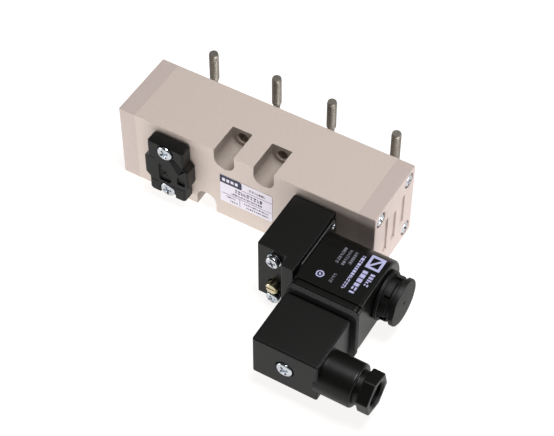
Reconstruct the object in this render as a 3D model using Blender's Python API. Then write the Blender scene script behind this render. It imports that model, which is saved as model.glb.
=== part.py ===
"""A solenoid directional valve: a 5/2 spool valve for a base plate, with a pilot solenoid on its front.

The origin is the centre of the valve body's underside. +X runs along the spool towards the pilot end, +Y
towards the face that meets the base plate, and +Z up. Everything is in metres.
"""

import math

import bmesh
import bpy
from mathutils import Matrix, Vector

MM = 0.001
GAP = 0.3 * MM  # left between a piece and the one it sits against

# Valve body and end caps
BODY_LENGTH = 108.8 * MM
BODY_DEPTH = 35.0 * MM
BODY_HEIGHT = 40.0 * MM
CAP_THICKNESS = 7.8 * MM
EDGE_CHAMFER = 0.45 * MM
END_X = BODY_LENGTH / 2
CAP_X = END_X + GAP
FRONT_Y = -BODY_DEPTH / 2
BACK_Y = BODY_DEPTH / 2

# Spool bore and the five chambers along it
SPOOL_Z = BODY_HEIGHT / 2
BORE_RADIUS = 8.0 * MM
CHAMBER_RADIUS = 9.5 * MM
CHAMBER_WIDTH = 5.0 * MM
CHAMBER_PITCH = 11.0 * MM
PISTON_BORE_RADIUS = 11.2 * MM
PISTON_BORE_DEPTH = 5.0 * MM
SPRING_POCKET_RADIUS = 6.6 * MM
SPRING_POCKET_DEPTH = 4.0 * MM
SPOOL_SEGMENTS = 20  # shared by the bore and all that slides in it, so that their flats line up

# Spool and its seals, drawn where the return spring holds them
SPOOL_LEFT = -47.0 * MM
SPOOL_RIGHT = 55.3 * MM
LAND_RADIUS = 7.7 * MM
NECK_RADIUS = 4.2 * MM
SEAL_RADIUS = 7.93 * MM
SEAL_WIDTH = 1.8 * MM
SEAL_GROOVE_RADIUS = 6.3 * MM
SEAL_PLACES = (-28.0 * MM, -11.5 * MM, -7.0 * MM, 10.5 * MM, 15.0 * MM, 29.0 * MM)
LANDS = (
    (-47.0 * MM, -26.5 * MM), (-13.0 * MM, -5.5 * MM), (9.0 * MM, 16.5 * MM), (27.5 * MM, 49.0 * MM),
)

# Base-plate interface on the back face
PORT_WIDTH = 7.0 * MM
PORT_HEIGHT = 8.6 * MM
PORT_RISE = 5.5 * MM
GASKET_SEAT_DEPTH = 1.2 * MM
GASKET_SIZE = (57.0 * MM, 24.0 * MM)
TOP_SCREW_PITCH = 19.4 * MM
BOTTOM_SCREW_PITCH = 38.8 * MM
SCREW_ROW_INSET = 4.9 * MM
NOTCH_RADIUS = 4.9 * MM
NOTCH_DEPTH = 15.6 * MM
MOUNTING_HOLE_RADIUS = 2.6 * MM

# Screws that hold the end caps
CAP_SCREW_Y = 12.5 * MM
CAP_SCREW_RISE = 15.2 * MM
CAP_COUNTERBORE_RADIUS = 3.6 * MM
CAP_COUNTERBORE_DEPTH = 2.0 * MM

# Gaskets let into the end caps
CAP_GASKET_HALF_DEPTH = 15.9 * MM
CAP_GASKET_HALF_HEIGHT = 18.4 * MM
CAP_GASKET_THICKNESS = 0.9 * MM

# Blanking cover on the front, over the second pilot's seat
COVER_X = -35.4 * MM
COVER_Z = 20.6 * MM
COVER_HALF_WIDTH = 9.0 * MM
COVER_HALF_HEIGHT = 15.7 * MM
COVER_THICKNESS = 5.9 * MM
COVER_SCREW_RISES = (11.4 * MM, -12.0 * MM)  # the lower screw's pocket is open at the cover's bottom edge

# Pilot block, and the tube that the coil slides over
BLOCK_LEFT = 24.8 * MM
BLOCK_RIGHT = 44.6 * MM
BLOCK_FRONT = -47.7 * MM
BLOCK_COLUMN_LEFT = 38.8 * MM
BLOCK_COLUMN_FRONT = -53.0 * MM
BLOCK_BOTTOM = 3.3 * MM
BLOCK_TOP = 35.1 * MM
BLOCK_SCREW_X = 33.15 * MM
BLOCK_SCREW_HEIGHTS = (29.4 * MM, 6.3 * MM)
OVERRIDE_X = 32.9 * MM
OVERRIDE_Z = 12.6 * MM
OVERRIDE_RADIUS = 2.7 * MM
OVERRIDE_DEPTH = 5.0 * MM  # below it the pin is a thin stem, which passes the tube's cavity
OVERRIDE_STEM_RADIUS = 1.4 * MM
PLATE_SCREW_OFFSET = (12.4 * MM, 11.6 * MM)  # from the tube's axis; the other screw is opposite
PLATE_REACH = 19.5 * MM  # from the tube's axis; the plate stays inside the path of the coil's flange
TUBE_Y = -34.0 * MM
TUBE_Z = 19.2 * MM
CAVITY_FLOOR = 35.6 * MM
CAVITY_RADIUS = 8.4 * MM
TUBE_RADIUS = 6.2 * MM
TUBE_BORE_RADIUS = 5.0 * MM
TUBE_END = 76.0 * MM

# Galleries that take pilot air from the middle chamber to the block, and from the block to the piston
GALLERY_Y = -13.5 * MM
GALLERY_Z = 12.5 * MM
SUPPLY_Y = -12.0 * MM
SUPPLY_X = 34.2 * MM
OUTLET_X = 40.0 * MM

# Coil
COIL_LEFT = 46.0 * MM
COIL_RIGHT = 76.2 * MM
COIL_RADIUS = 14.5 * MM
COIL_BOTTOM = -13.9 * MM  # below the tube's axis
COIL_FRONT = -54.0 * MM
COIL_BORE_RADIUS = 6.5 * MM
FLANGE_LEFT = 45.2 * MM
FLANGE_RIGHT = 76.5 * MM
FLANGE_FRONT = -56.6 * MM
FLANGE_HALF_HEIGHT = 13.6 * MM
NUT_LEFT = COIL_RIGHT + GAP
NUT_RIGHT = 85.4 * MM

# Plug and cable gland
PLUG_X = 60.1 * MM
PLUG_WIDTH = 29.4 * MM
PLUG_HEIGHT = 22.0 * MM
PLUG_BACK = -59.8 * MM
PLUG_FRONT = -86.5 * MM
PLUG_WALL = 2.4 * MM
GLAND_Y = -77.6 * MM
GLAND_Z = 17.7 * MM
GLAND_NECK_END = 88.9 * MM
GLAND_SPIGOT_END = 94.5 * MM
GLAND_NUT_LEFT = 91.1 * MM
GLAND_NUT_RIGHT = 96.5 * MM
BLADE_SPACING = 11.0 * MM

# Loose mounting screws, standing on their heads behind the valve
MOUNTING_SCREW_PLACES = (
    (-48.5 * MM, 36.8 * MM), (-16.3 * MM, 37.7 * MM), (11.8 * MM, 37.4 * MM), (44.8 * MM, 34.9 * MM),
)
MOUNTING_SCREW_LENGTH = 34.0 * MM

ALONG_X = (0.0, math.pi / 2, 0.0)
TOWARDS_FRONT = (math.pi / 2, 0.0, 0.0)
UPRIGHT = (0.0, 0.0, 0.0)


def clear_scene():
    for obj in list(bpy.data.objects):
        bpy.data.objects.remove(obj, do_unlink=True)


def make_material(name, color, roughness, metallic=0.0):
    material = bpy.data.materials.new(name)
    material.use_nodes = True
    shader = material.node_tree.nodes["Principled BSDF"]
    shader.inputs["Base Color"].default_value = (*color, 1.0)
    shader.inputs["Roughness"].default_value = roughness
    shader.inputs["Metallic"].default_value = metallic
    return material


# ---------------------------------------------------------------- shapes


def arc(centre, radius, start, end, steps):
    """Points along a circle from start to end, in degrees, both ends included."""
    points = []
    for i in range(steps + 1):
        angle = math.radians(start + (end - start) * i / steps)
        points.append((centre[0] + radius * math.cos(angle), centre[1] + radius * math.sin(angle)))
    return points


def rounded_rectangle(width, height, radius, steps=3, centre=(0.0, 0.0)):
    points = []
    for quadrant, (sx, sy) in enumerate(((1, 1), (-1, 1), (-1, -1), (1, -1))):
        corner = (centre[0] + sx * (width / 2 - radius), centre[1] + sy * (height / 2 - radius))
        points += arc(corner, radius, 90 * quadrant, 90 * quadrant + 90, steps)
    return points


def obround(width, height, centre, steps=6):
    """A slot with round ends, taller than it is wide."""
    radius = width / 2
    reach = height / 2 - radius
    top = arc((centre[0], centre[1] + reach), radius, 0, 180, steps)
    bottom = arc((centre[0], centre[1] - reach), radius, 180, 360, steps)
    return top + bottom


def box(low, high):
    bm = bmesh.new()
    size = [b - a for a, b in zip(low, high)]
    middle = [(a + b) / 2 for a, b in zip(low, high)]
    matrix = Matrix.Translation(middle) @ Matrix.Diagonal((*size, 1.0))
    bmesh.ops.create_cube(bm, size=1.0, matrix=matrix)
    return bm


def loft(sections):
    """A solid through outlines of equal length, each given with its height along local Z."""
    bm = bmesh.new()
    rings = []
    for outline, height in sections:
        rings.append([bm.verts.new((x, y, height)) for x, y in outline])
    bm.faces.new(rings[0])
    bm.faces.new(rings[-1])
    for low, high in zip(rings, rings[1:]):
        for i in range(len(low)):
            k = (i + 1) % len(low)
            bm.faces.new((low[i], low[k], high[k], high[i]))
    bmesh.ops.recalc_face_normals(bm, faces=bm.faces)
    return bm


def prism(outline, low, high):
    """The outline, in local X and Y, extruded along local Z from low to high."""
    return loft([(outline, low), (outline, high)])


def turned(profile, segments=16):
    """The profile, as (distance along the axis, radius), turned once about local Z."""
    bm = bmesh.new()
    verts = [bm.verts.new((radius, 0.0, along)) for along, radius in profile]
    edges = [bm.edges.new((verts[i - 1], verts[i])) for i in range(len(verts))]
    bmesh.ops.spin(
        bm, geom=verts + edges, cent=(0, 0, 0), axis=(0, 0, 1), dvec=(0, 0, 0),
        angle=2 * math.pi, steps=segments, use_merge=True, use_duplicate=False,
    )
    bmesh.ops.remove_doubles(bm, verts=bm.verts, dist=1e-6)
    bmesh.ops.dissolve_degenerate(bm, edges=bm.edges, dist=1e-6)
    bmesh.ops.recalc_face_normals(bm, faces=bm.faces)
    return bm


def disc(low, high, radius, segments=16):
    return turned([(low, 0.0), (low, radius), (high, radius), (high, 0.0)], segments)


def ring(low, high, inner, outer, segments=16):
    return turned([(low, inner), (low, outer), (high, outer), (high, inner)], segments)


def drilling(start, end, radius, segments=8):
    """A round hole between two points."""
    start, end = Vector(start), Vector(end)
    direction = end - start
    bm = disc(0.0, direction.length, radius, segments)
    turn = Vector((0, 0, 1)).rotation_difference(direction.normalized()).to_matrix().to_4x4()
    bm.transform(Matrix.Translation(start) @ turn)
    return bm


def along_x(bm):
    bm.transform(Matrix.Rotation(math.pi / 2, 4, "Y"))
    return bm


def facing_front(bm):
    """Turns a shape drawn in local X and Y so that its outline stands in X and Z, and local +Z faces -Y."""
    bm.transform(Matrix.Rotation(math.pi / 2, 4, "X"))
    return bm


def moved(bm, offset):
    bm.transform(Matrix.Translation(offset))
    return bm


def helix(low, high, radius, wire_radius, turns, steps=10, sides=6):
    """A compression spring along local Z, with its last quarter turns closed up."""
    bm = bmesh.new()
    count = int(turns * steps)
    loops = []
    for i in range(count + 1):
        share = i / count
        angle = 2 * math.pi * turns * share
        height = low + wire_radius + (high - low - 2 * wire_radius) * share
        outward = Vector((math.cos(angle), math.sin(angle), 0.0))
        loop = []
        for j in range(sides):
            tilt = 2 * math.pi * j / sides
            around = outward * math.cos(tilt) + Vector((0, 0, 1)) * math.sin(tilt)
            loop.append(bm.verts.new(outward * radius + Vector((0, 0, height)) + around * wire_radius))
        loops.append(loop)
    for first, second in zip(loops, loops[1:]):
        for j in range(sides):
            k = (j + 1) % sides
            bm.faces.new((first[j], first[k], second[k], second[j]))
    bm.faces.new(loops[0])
    bm.faces.new(loops[-1])
    bmesh.ops.recalc_face_normals(bm, faces=bm.faces)
    return bm


# ---------------------------------------------------------------- objects


def mesh_of(name, bm, smooth=True):
    mesh = bpy.data.meshes.new(name)
    bm.to_mesh(mesh)
    bm.free()
    if smooth:
        mesh.shade_smooth()
        mesh.set_sharp_from_angle(angle=math.radians(35))
    return mesh


def add(name, shape, material, location=(0, 0, 0), rotation=UPRIGHT, parent=None):
    """Adds a named piece made from a bmesh, or from a mesh that copies share."""
    mesh = shape if isinstance(shape, bpy.types.Mesh) else mesh_of(name, shape)
    obj = bpy.data.objects.new(name, mesh)
    if not mesh.materials:
        mesh.materials.append(material)
    obj.location = location
    obj.rotation_euler = rotation
    obj.parent = parent
    bpy.context.scene.collection.objects.link(obj)
    return obj


def add_axis(name, location):
    """An empty that marks the axis a group of pieces turns about."""
    empty = bpy.data.objects.new(name, None)
    empty.location = location
    bpy.context.scene.collection.objects.link(empty)
    return empty


def chamfer(obj, width, segments=1):
    bevel = obj.modifiers.new("chamfer", "BEVEL")
    bevel.width = width
    bevel.segments = segments
    bevel.limit_method = "ANGLE"
    bevel.angle_limit = math.radians(50)
    return obj


def combine(obj, shape, operation):
    """Joins a shape, drawn in the piece's own coordinates, to the piece or cuts it from the piece."""
    name = f"{obj.name}_cutter_{len(obj.modifiers)}"
    cutter = bpy.data.objects.new(name, mesh_of(name, shape, smooth=False))
    cutter.hide_render = True
    cutter.display_type = "WIRE"
    cutter.matrix_world = obj.matrix_world
    cutter.parent = obj
    bpy.context.scene.collection.objects.link(cutter)
    boolean = obj.modifiers.new(name, "BOOLEAN")
    boolean.operation = operation
    boolean.object = cutter


def cut(obj, shape):
    combine(obj, shape, "DIFFERENCE")


def pan_head_screw(name, head_radius, head_height, shank_radius, shank_length, segments=12):
    """A pan-head screw and its cross recess. The head's seat is at 0, and the head points along local +Z."""
    dome = 0.35 * head_height
    profile = [
        (-shank_length, 0.0), (-shank_length, shank_radius), (0.0, shank_radius), (0.0, head_radius),
        (head_height - dome, head_radius), (head_height, 0.72 * head_radius), (head_height, 0.0),
    ]
    bm = turned(profile, segments)
    mesh = mesh_of(name, bm)
    recess_depth = 0.75 * head_height
    half_long, half_wide = 0.55 * head_radius, 0.16 * head_radius
    cross = [
        (half_long, -half_wide), (half_long, half_wide), (half_wide, half_wide), (half_wide, half_long),
        (-half_wide, half_long), (-half_wide, half_wide), (-half_long, half_wide), (-half_long, -half_wide),
        (-half_wide, -half_wide), (-half_wide, -half_long), (half_wide, -half_long), (half_wide, -half_wide),
    ]
    return mesh, (cross, head_height - recess_depth, head_height + 1 * MM)


def add_screw(name, screw, material, location, rotation, parent=None):
    mesh, (cross, low, high) = screw
    obj = add(name, mesh, material, location, rotation, parent)
    cut(obj, prism(cross, low, high))
    return obj


# ---------------------------------------------------------------- valve body and what lies in it


def port_places():
    """Each chamber's place along X and its port's height: the first, third and fifth ports are low."""
    places = []
    for i in range(-2, 3):
        rise = PORT_RISE if i % 2 else -PORT_RISE
        places.append((i * CHAMBER_PITCH, SPOOL_Z + rise))
    return places


def mounting_hole_places():
    """(x, z, which way the notch opens) of the four screws that hold the valve to its base."""
    top = [(s * TOP_SCREW_PITCH / 2, BODY_HEIGHT - SCREW_ROW_INSET, 1) for s in (-1, 1)]
    bottom = [(s * BOTTOM_SCREW_PITCH / 2, SCREW_ROW_INSET, -1) for s in (-1, 1)]
    return top + bottom


def spool_bore():
    profile = [(-END_X - 1 * MM, 0.0), (-END_X - 1 * MM, BORE_RADIUS)]
    for x, _ in port_places():
        profile += [
            (x - CHAMBER_WIDTH / 2, BORE_RADIUS), (x - CHAMBER_WIDTH / 2, CHAMBER_RADIUS),
            (x + CHAMBER_WIDTH / 2, CHAMBER_RADIUS), (x + CHAMBER_WIDTH / 2, BORE_RADIUS),
        ]
    step = END_X - PISTON_BORE_DEPTH
    profile += [(step, BORE_RADIUS), (step, PISTON_BORE_RADIUS)]
    profile += [(END_X + 1 * MM, PISTON_BORE_RADIUS), (END_X + 1 * MM, 0.0)]
    return moved(along_x(turned(profile, SPOOL_SEGMENTS)), (0, 0, SPOOL_Z))


def notch(x, z, opens):
    """A screw notch, open to the front and to the top (or, with opens -1, to the bottom)."""
    reach = SCREW_ROW_INSET + 1 * MM
    outline = arc((x, z), NOTCH_RADIUS, 180, 360, 10)
    outline += [(x + NOTCH_RADIUS, z + reach), (x - NOTCH_RADIUS, z + reach)]
    if opens < 0:
        outline = [(px, 2 * z - pz) for px, pz in reversed(outline)]
    return facing_front(prism(outline, -FRONT_Y - NOTCH_DEPTH, -FRONT_Y + 1 * MM))


def add_valve_body(paint):
    body = add("valve_body", box((-END_X, FRONT_Y, 0.0), (END_X, BACK_Y, BODY_HEIGHT)), paint)
    chamfer(body, EDGE_CHAMFER)
    cut(body, spool_bore())
    seat = rounded_rectangle(*GASKET_SIZE, 3 * MM, centre=(0, SPOOL_Z))
    cut(body, facing_front(prism(seat, -BACK_Y - 1 * MM, -BACK_Y + GASKET_SEAT_DEPTH)))
    for x, z in port_places():
        port = obround(PORT_WIDTH, PORT_HEIGHT, (x, z))
        cut(body, facing_front(prism(port, -BACK_Y - 1 * MM, -5 * MM)))
    for x, z, opens in mounting_hole_places():
        cut(body, notch(x, z, opens))
        floor = FRONT_Y + NOTCH_DEPTH
        cut(body, drilling((x, floor - 1 * MM, z), (x, BACK_Y + 1 * MM, z), MOUNTING_HOLE_RADIUS, 16))
    for end in (-1, 1):
        for y, z in cap_screw_places():
            cut(body, drilling((end * (END_X - 9 * MM), y, z), (end * (END_X + 1 * MM), y, z), 1.9 * MM))
    for rise in COVER_SCREW_RISES:
        z = COVER_Z + rise
        cut(body, drilling((COVER_X, FRONT_Y - 1 * MM, z), (COVER_X, FRONT_Y + 6 * MM, z), 1.7 * MM))
    for z in BLOCK_SCREW_HEIGHTS:
        start, end = (BLOCK_SCREW_X, FRONT_Y - 1 * MM, z), (BLOCK_SCREW_X, FRONT_Y + 7.5 * MM, z)
        cut(body, drilling(start, end, 1.7 * MM))
    for start, end, radius in pilot_galleries():
        cut(body, drilling(start, end, radius))
    return body


def pilot_galleries():
    """(start, end, radius) of the holes from the middle chamber to the pilot block and on to the piston."""
    wide, narrow, past = 1.0 * MM, 0.8 * MM, 1.3 * MM
    return (
        ((SUPPLY_X, FRONT_Y - past, TUBE_Z), (SUPPLY_X, SUPPLY_Y + 0.3 * MM, TUBE_Z), narrow),
        ((SUPPLY_X + past, SUPPLY_Y, TUBE_Z), (-past, SUPPLY_Y, TUBE_Z), wide),
        ((0.1 * MM, SUPPLY_Y - 0.3 * MM, TUBE_Z), (0.1 * MM, -8.4 * MM, TUBE_Z), narrow),
        ((OUTLET_X, FRONT_Y - past, GALLERY_Z), (OUTLET_X, GALLERY_Y + 0.3 * MM, GALLERY_Z), narrow),
        ((OUTLET_X - past, GALLERY_Y, GALLERY_Z), (END_X + past, GALLERY_Y, GALLERY_Z), wide),
    )


def cap_screw_places():
    heights = (SPOOL_Z + CAP_SCREW_RISE, SPOOL_Z - CAP_SCREW_RISE)
    return [(y, z) for y in (-CAP_SCREW_Y, CAP_SCREW_Y) for z in heights]


def add_end_cap(end, paint):
    """An end cap. Local X runs outwards from the body, from 0 to the cap's thickness."""
    name = "left_end_cap" if end < 0 else "right_end_cap"
    shape = box((0.0, FRONT_Y, -SPOOL_Z), (CAP_THICKNESS, BACK_Y, SPOOL_Z))
    turn = (0.0, 0.0, math.pi) if end < 0 else UPRIGHT
    cap = add(name, shape, paint, (end * CAP_X, 0.0, SPOOL_Z), turn)
    chamfer(cap, EDGE_CHAMFER)
    depth = CAP_GASKET_THICKNESS + 0.1 * MM
    reach_y, reach_z = CAP_GASKET_HALF_DEPTH + 0.1 * MM, CAP_GASKET_HALF_HEIGHT + 0.1 * MM
    cut(cap, box((-1 * MM, -reach_y, -reach_z), (depth, reach_y, reach_z)))
    if end < 0:
        cut(cap, along_x(disc(-1 * MM, SPRING_POCKET_DEPTH, SPRING_POCKET_RADIUS, SPOOL_SEGMENTS)))
    else:
        cut(cap, along_x(disc(-1 * MM, PISTON_BORE_DEPTH, PISTON_BORE_RADIUS, SPOOL_SEGMENTS)))
    if end > 0:
        z = GALLERY_Z - SPOOL_Z
        cut(cap, drilling((0.5 * MM, GALLERY_Y, z), (3.5 * MM, GALLERY_Y, z), 1.0 * MM, 8))
        cut(cap, drilling((2.8 * MM, GALLERY_Y - 0.5 * MM, z), (2.8 * MM, -7.5 * MM, z), 0.9 * MM, 8))
    for y, z, half in ((-7.2, 0.0, 10.2), (0.3, -1.3, 8.5), (7.8, 1.3, 8.5)):
        low = (CAP_THICKNESS - 0.9 * MM, (y - 1.6) * MM, (z - half) * MM)
        cut(cap, box(low, (CAP_THICKNESS + 1 * MM, (y + 1.6) * MM, (z + half) * MM)))
    for y, z in cap_screw_places():
        z -= SPOOL_Z
        bore = [
            (-1 * MM, 0.0), (-1 * MM, 2.0 * MM), (CAP_THICKNESS - CAP_COUNTERBORE_DEPTH, 2.0 * MM),
            (CAP_THICKNESS - CAP_COUNTERBORE_DEPTH, CAP_COUNTERBORE_RADIUS),
            (CAP_THICKNESS + 1 * MM, CAP_COUNTERBORE_RADIUS), (CAP_THICKNESS + 1 * MM, 0.0),
        ]
        cut(cap, moved(along_x(turned(bore, 16)), (0, y, z)))
    return cap


def add_cap_gasket(end, rubber):
    name = "left_cap_gasket" if end < 0 else "right_cap_gasket"
    half_y, half_z = CAP_GASKET_HALF_DEPTH, CAP_GASKET_HALF_HEIGHT
    shape = box((0.0, -half_y, -half_z), (CAP_GASKET_THICKNESS, half_y, half_z))
    turn = (0.0, 0.0, math.pi) if end < 0 else UPRIGHT
    gasket = add(name, shape, rubber, (end * CAP_X, 0.0, SPOOL_Z), turn)
    radius = BORE_RADIUS if end < 0 else PISTON_BORE_RADIUS
    cut(gasket, along_x(disc(-1 * MM, 2 * MM, radius, SPOOL_SEGMENTS)))
    for y, z in cap_screw_places():
        cut(gasket, drilling((-1 * MM, y, z - SPOOL_Z), (2 * MM, y, z - SPOOL_Z), 2.3 * MM))
    if end > 0:
        z = GALLERY_Z - SPOOL_Z
        cut(gasket, drilling((-1 * MM, GALLERY_Y, z), (2 * MM, GALLERY_Y, z), 1.2 * MM, 8))


def add_cap_screws(steel):
    screw = pan_head_screw("cap_screw", 3.0 * MM, 1.9 * MM, 1.6 * MM, 13.0 * MM)
    seat = CAP_X + CAP_THICKNESS - CAP_COUNTERBORE_DEPTH + 0.1 * MM
    names = ("front_upper", "front_lower", "back_upper", "back_lower")
    for side, end in (("left", -1), ("right", 1)):
        for where, (y, z) in zip(names, cap_screw_places()):
            turn = (0.0, end * math.pi / 2, 0.0)
            add_screw(f"{side}_cap_screw_{where}", screw, steel, (end * seat, y, z), turn)


def add_mounting_gasket(rubber):
    width, height = (side - 0.4 * MM for side in GASKET_SIZE)
    outline = rounded_rectangle(width, height, 2.8 * MM, centre=(0, SPOOL_Z))
    shape = facing_front(prism(outline, -BACK_Y + 0.1 * MM, -BACK_Y + GASKET_SEAT_DEPTH - 0.1 * MM))
    gasket = add("mounting_gasket", shape, rubber)
    for x, z in port_places():
        port = obround(PORT_WIDTH + 0.6 * MM, PORT_HEIGHT + 0.6 * MM, (x, z))
        cut(gasket, facing_front(prism(port, -BACK_Y - 1 * MM, -BACK_Y + 2 * MM)))


def add_spool(steel, rubber, spool_axis):
    profile = [(SPOOL_LEFT, 0.0)]
    for low, high in LANDS:
        if profile[-1][1] > 0:
            profile.append((low, NECK_RADIUS))
        profile.append((low, LAND_RADIUS))
        for place in SEAL_PLACES:
            if low < place < high:
                left, right = place - SEAL_WIDTH / 2 - 0.1 * MM, place + SEAL_WIDTH / 2 + 0.1 * MM
                profile += [(left, LAND_RADIUS), (left, SEAL_GROOVE_RADIUS)]
                profile += [(right, SEAL_GROOVE_RADIUS), (right, LAND_RADIUS)]
        profile += [(high, LAND_RADIUS), (high, NECK_RADIUS)]
    profile += [(SPOOL_RIGHT, NECK_RADIUS), (SPOOL_RIGHT, 0.0)]
    add("spool", turned(profile, SPOOL_SEGMENTS), steel, rotation=ALONG_X, parent=spool_axis)
    half = SEAL_WIDTH / 2
    shape = ring(-half, half, SEAL_GROOVE_RADIUS + 0.15 * MM, SEAL_RADIUS, SPOOL_SEGMENTS)
    seal = mesh_of("spool_seal", shape)
    for number, place in enumerate(SEAL_PLACES, 1):
        add(f"spool_seal_{number}", seal, rubber, (place, 0, 0), ALONG_X, spool_axis)


def add_piston(plastic, rubber, spool_axis):
    left, right = 55.5 * MM, 59.4 * MM
    groove_left, groove_right = 56.6 * MM, 58.4 * MM
    profile = [
        (left, 0.0), (left, 10.8 * MM), (groove_left, 10.8 * MM), (groove_left, 9.0 * MM),
        (groove_right, 9.0 * MM), (groove_right, 10.8 * MM), (right, 10.8 * MM), (right, 0.0),
    ]
    add("pilot_piston", turned(profile, SPOOL_SEGMENTS), plastic, rotation=ALONG_X, parent=spool_axis)
    seal = ring(groove_left + 0.1 * MM, groove_right - 0.1 * MM, 9.15 * MM, 11.12 * MM, SPOOL_SEGMENTS)
    add("pilot_piston_seal", seal, rubber, rotation=ALONG_X, parent=spool_axis)


def add_return_spring(steel):
    fixed_end = -CAP_X - SPRING_POCKET_DEPTH + 0.1 * MM
    shape = helix(fixed_end, SPOOL_LEFT - 0.1 * MM, 5.0 * MM, 0.55 * MM, 5.5, 8, 5)
    add("return_spring", shape, steel, (0, 0, SPOOL_Z), ALONG_X)


# ---------------------------------------------------------------- blanking cover


def cover_outline(margin=0.0):
    """The cover's outline in X and Z about its centre: chamfered corners and a lug half way up each side."""
    w, h = COVER_HALF_WIDTH - margin, COVER_HALF_HEIGHT - margin
    corner = 0.9 * MM
    lug, lug_low, lug_high, slope = 2.1 * MM, -5.4 * MM, 4.2 * MM, 2.0 * MM
    right = [(w - corner, -h), (w, -h + corner)]
    if not margin:
        right += [(w, lug_low - slope), (w + lug, lug_low), (w + lug, lug_high), (w, lug_high + slope)]
    right += [(w, h - corner), (w - corner, h)]
    return right + [(-x, z) for x, z in reversed(right)]


def add_blanking_cover(plastic, rubber, steel):
    back = FRONT_Y - GAP
    place = (COVER_X, back, COVER_Z)
    shape = prism(cover_outline(), 0.0, COVER_THICKNESS)
    cover = add("blanking_cover", shape, plastic, place, TOWARDS_FRONT)
    chamfer(cover, 0.5 * MM)
    top = COVER_THICKNESS + 1 * MM
    upper, lower = COVER_SCREW_RISES
    upper_seat, lower_seat = 4.6 * MM, 4.0 * MM
    cut(cover, prism(cover_outline(2.0 * MM), -1 * MM, 1.1 * MM))
    screw_bore = [
        (0.0, 0.0), (0.0, 1.8 * MM), (upper_seat, 1.8 * MM), (upper_seat, 3.95 * MM), (top, 3.95 * MM),
        (top, 0.0),
    ]
    cut(cover, moved(turned(screw_bore, 20), (0, upper, 0)))
    cut(cover, moved(disc(0.0, top, 1.8 * MM, 12), (0, lower, 0)))
    pocket = arc((0, lower), 3.95 * MM, 0, 180, 10)
    pocket += [(-3.95 * MM, -COVER_HALF_HEIGHT - 1 * MM), (3.95 * MM, -COVER_HALF_HEIGHT - 1 * MM)]
    cut(cover, prism(pocket, lower_seat, top))
    tray = rounded_rectangle(6.0 * MM, 9.0 * MM, 1.0 * MM, 2, (-0.8 * MM, -2.4 * MM))
    cut(cover, prism(tray, COVER_THICKNESS - 0.9 * MM, top))
    groove = [(2.4 * MM, 7.0 * MM), (4.6 * MM, 8.6 * MM), (8.6 * MM, 4.2 * MM), (6.2 * MM, 1.2 * MM)]
    cut(cover, prism(groove, COVER_THICKNESS - 1.6 * MM, top))
    window = rounded_rectangle(3.6 * MM, 4.2 * MM, 0.4 * MM, 1, (7.0 * MM, -3.2 * MM))
    cut(cover, prism(window, COVER_THICKNESS - 0.9 * MM, top))
    shape = prism(cover_outline(2.3 * MM), 0.0, 0.9 * MM)
    gasket = add("blanking_cover_gasket", shape, rubber, place, TOWARDS_FRONT)
    screw = pan_head_screw("cover_screw", 3.6 * MM, 2.2 * MM, 1.4 * MM, 8.9 * MM)
    for where, rise, seat in (("upper", upper, upper_seat), ("lower", lower, lower_seat)):
        cut(gasket, moved(disc(-1 * MM, 2 * MM, 2.0 * MM, 12), (0, rise, 0)))
        at = (COVER_X, back - seat - 0.1 * MM, COVER_Z + rise)
        add_screw(f"cover_screw_{where}", screw, steel, at, TOWARDS_FRONT)


# ---------------------------------------------------------------- pilot


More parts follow.
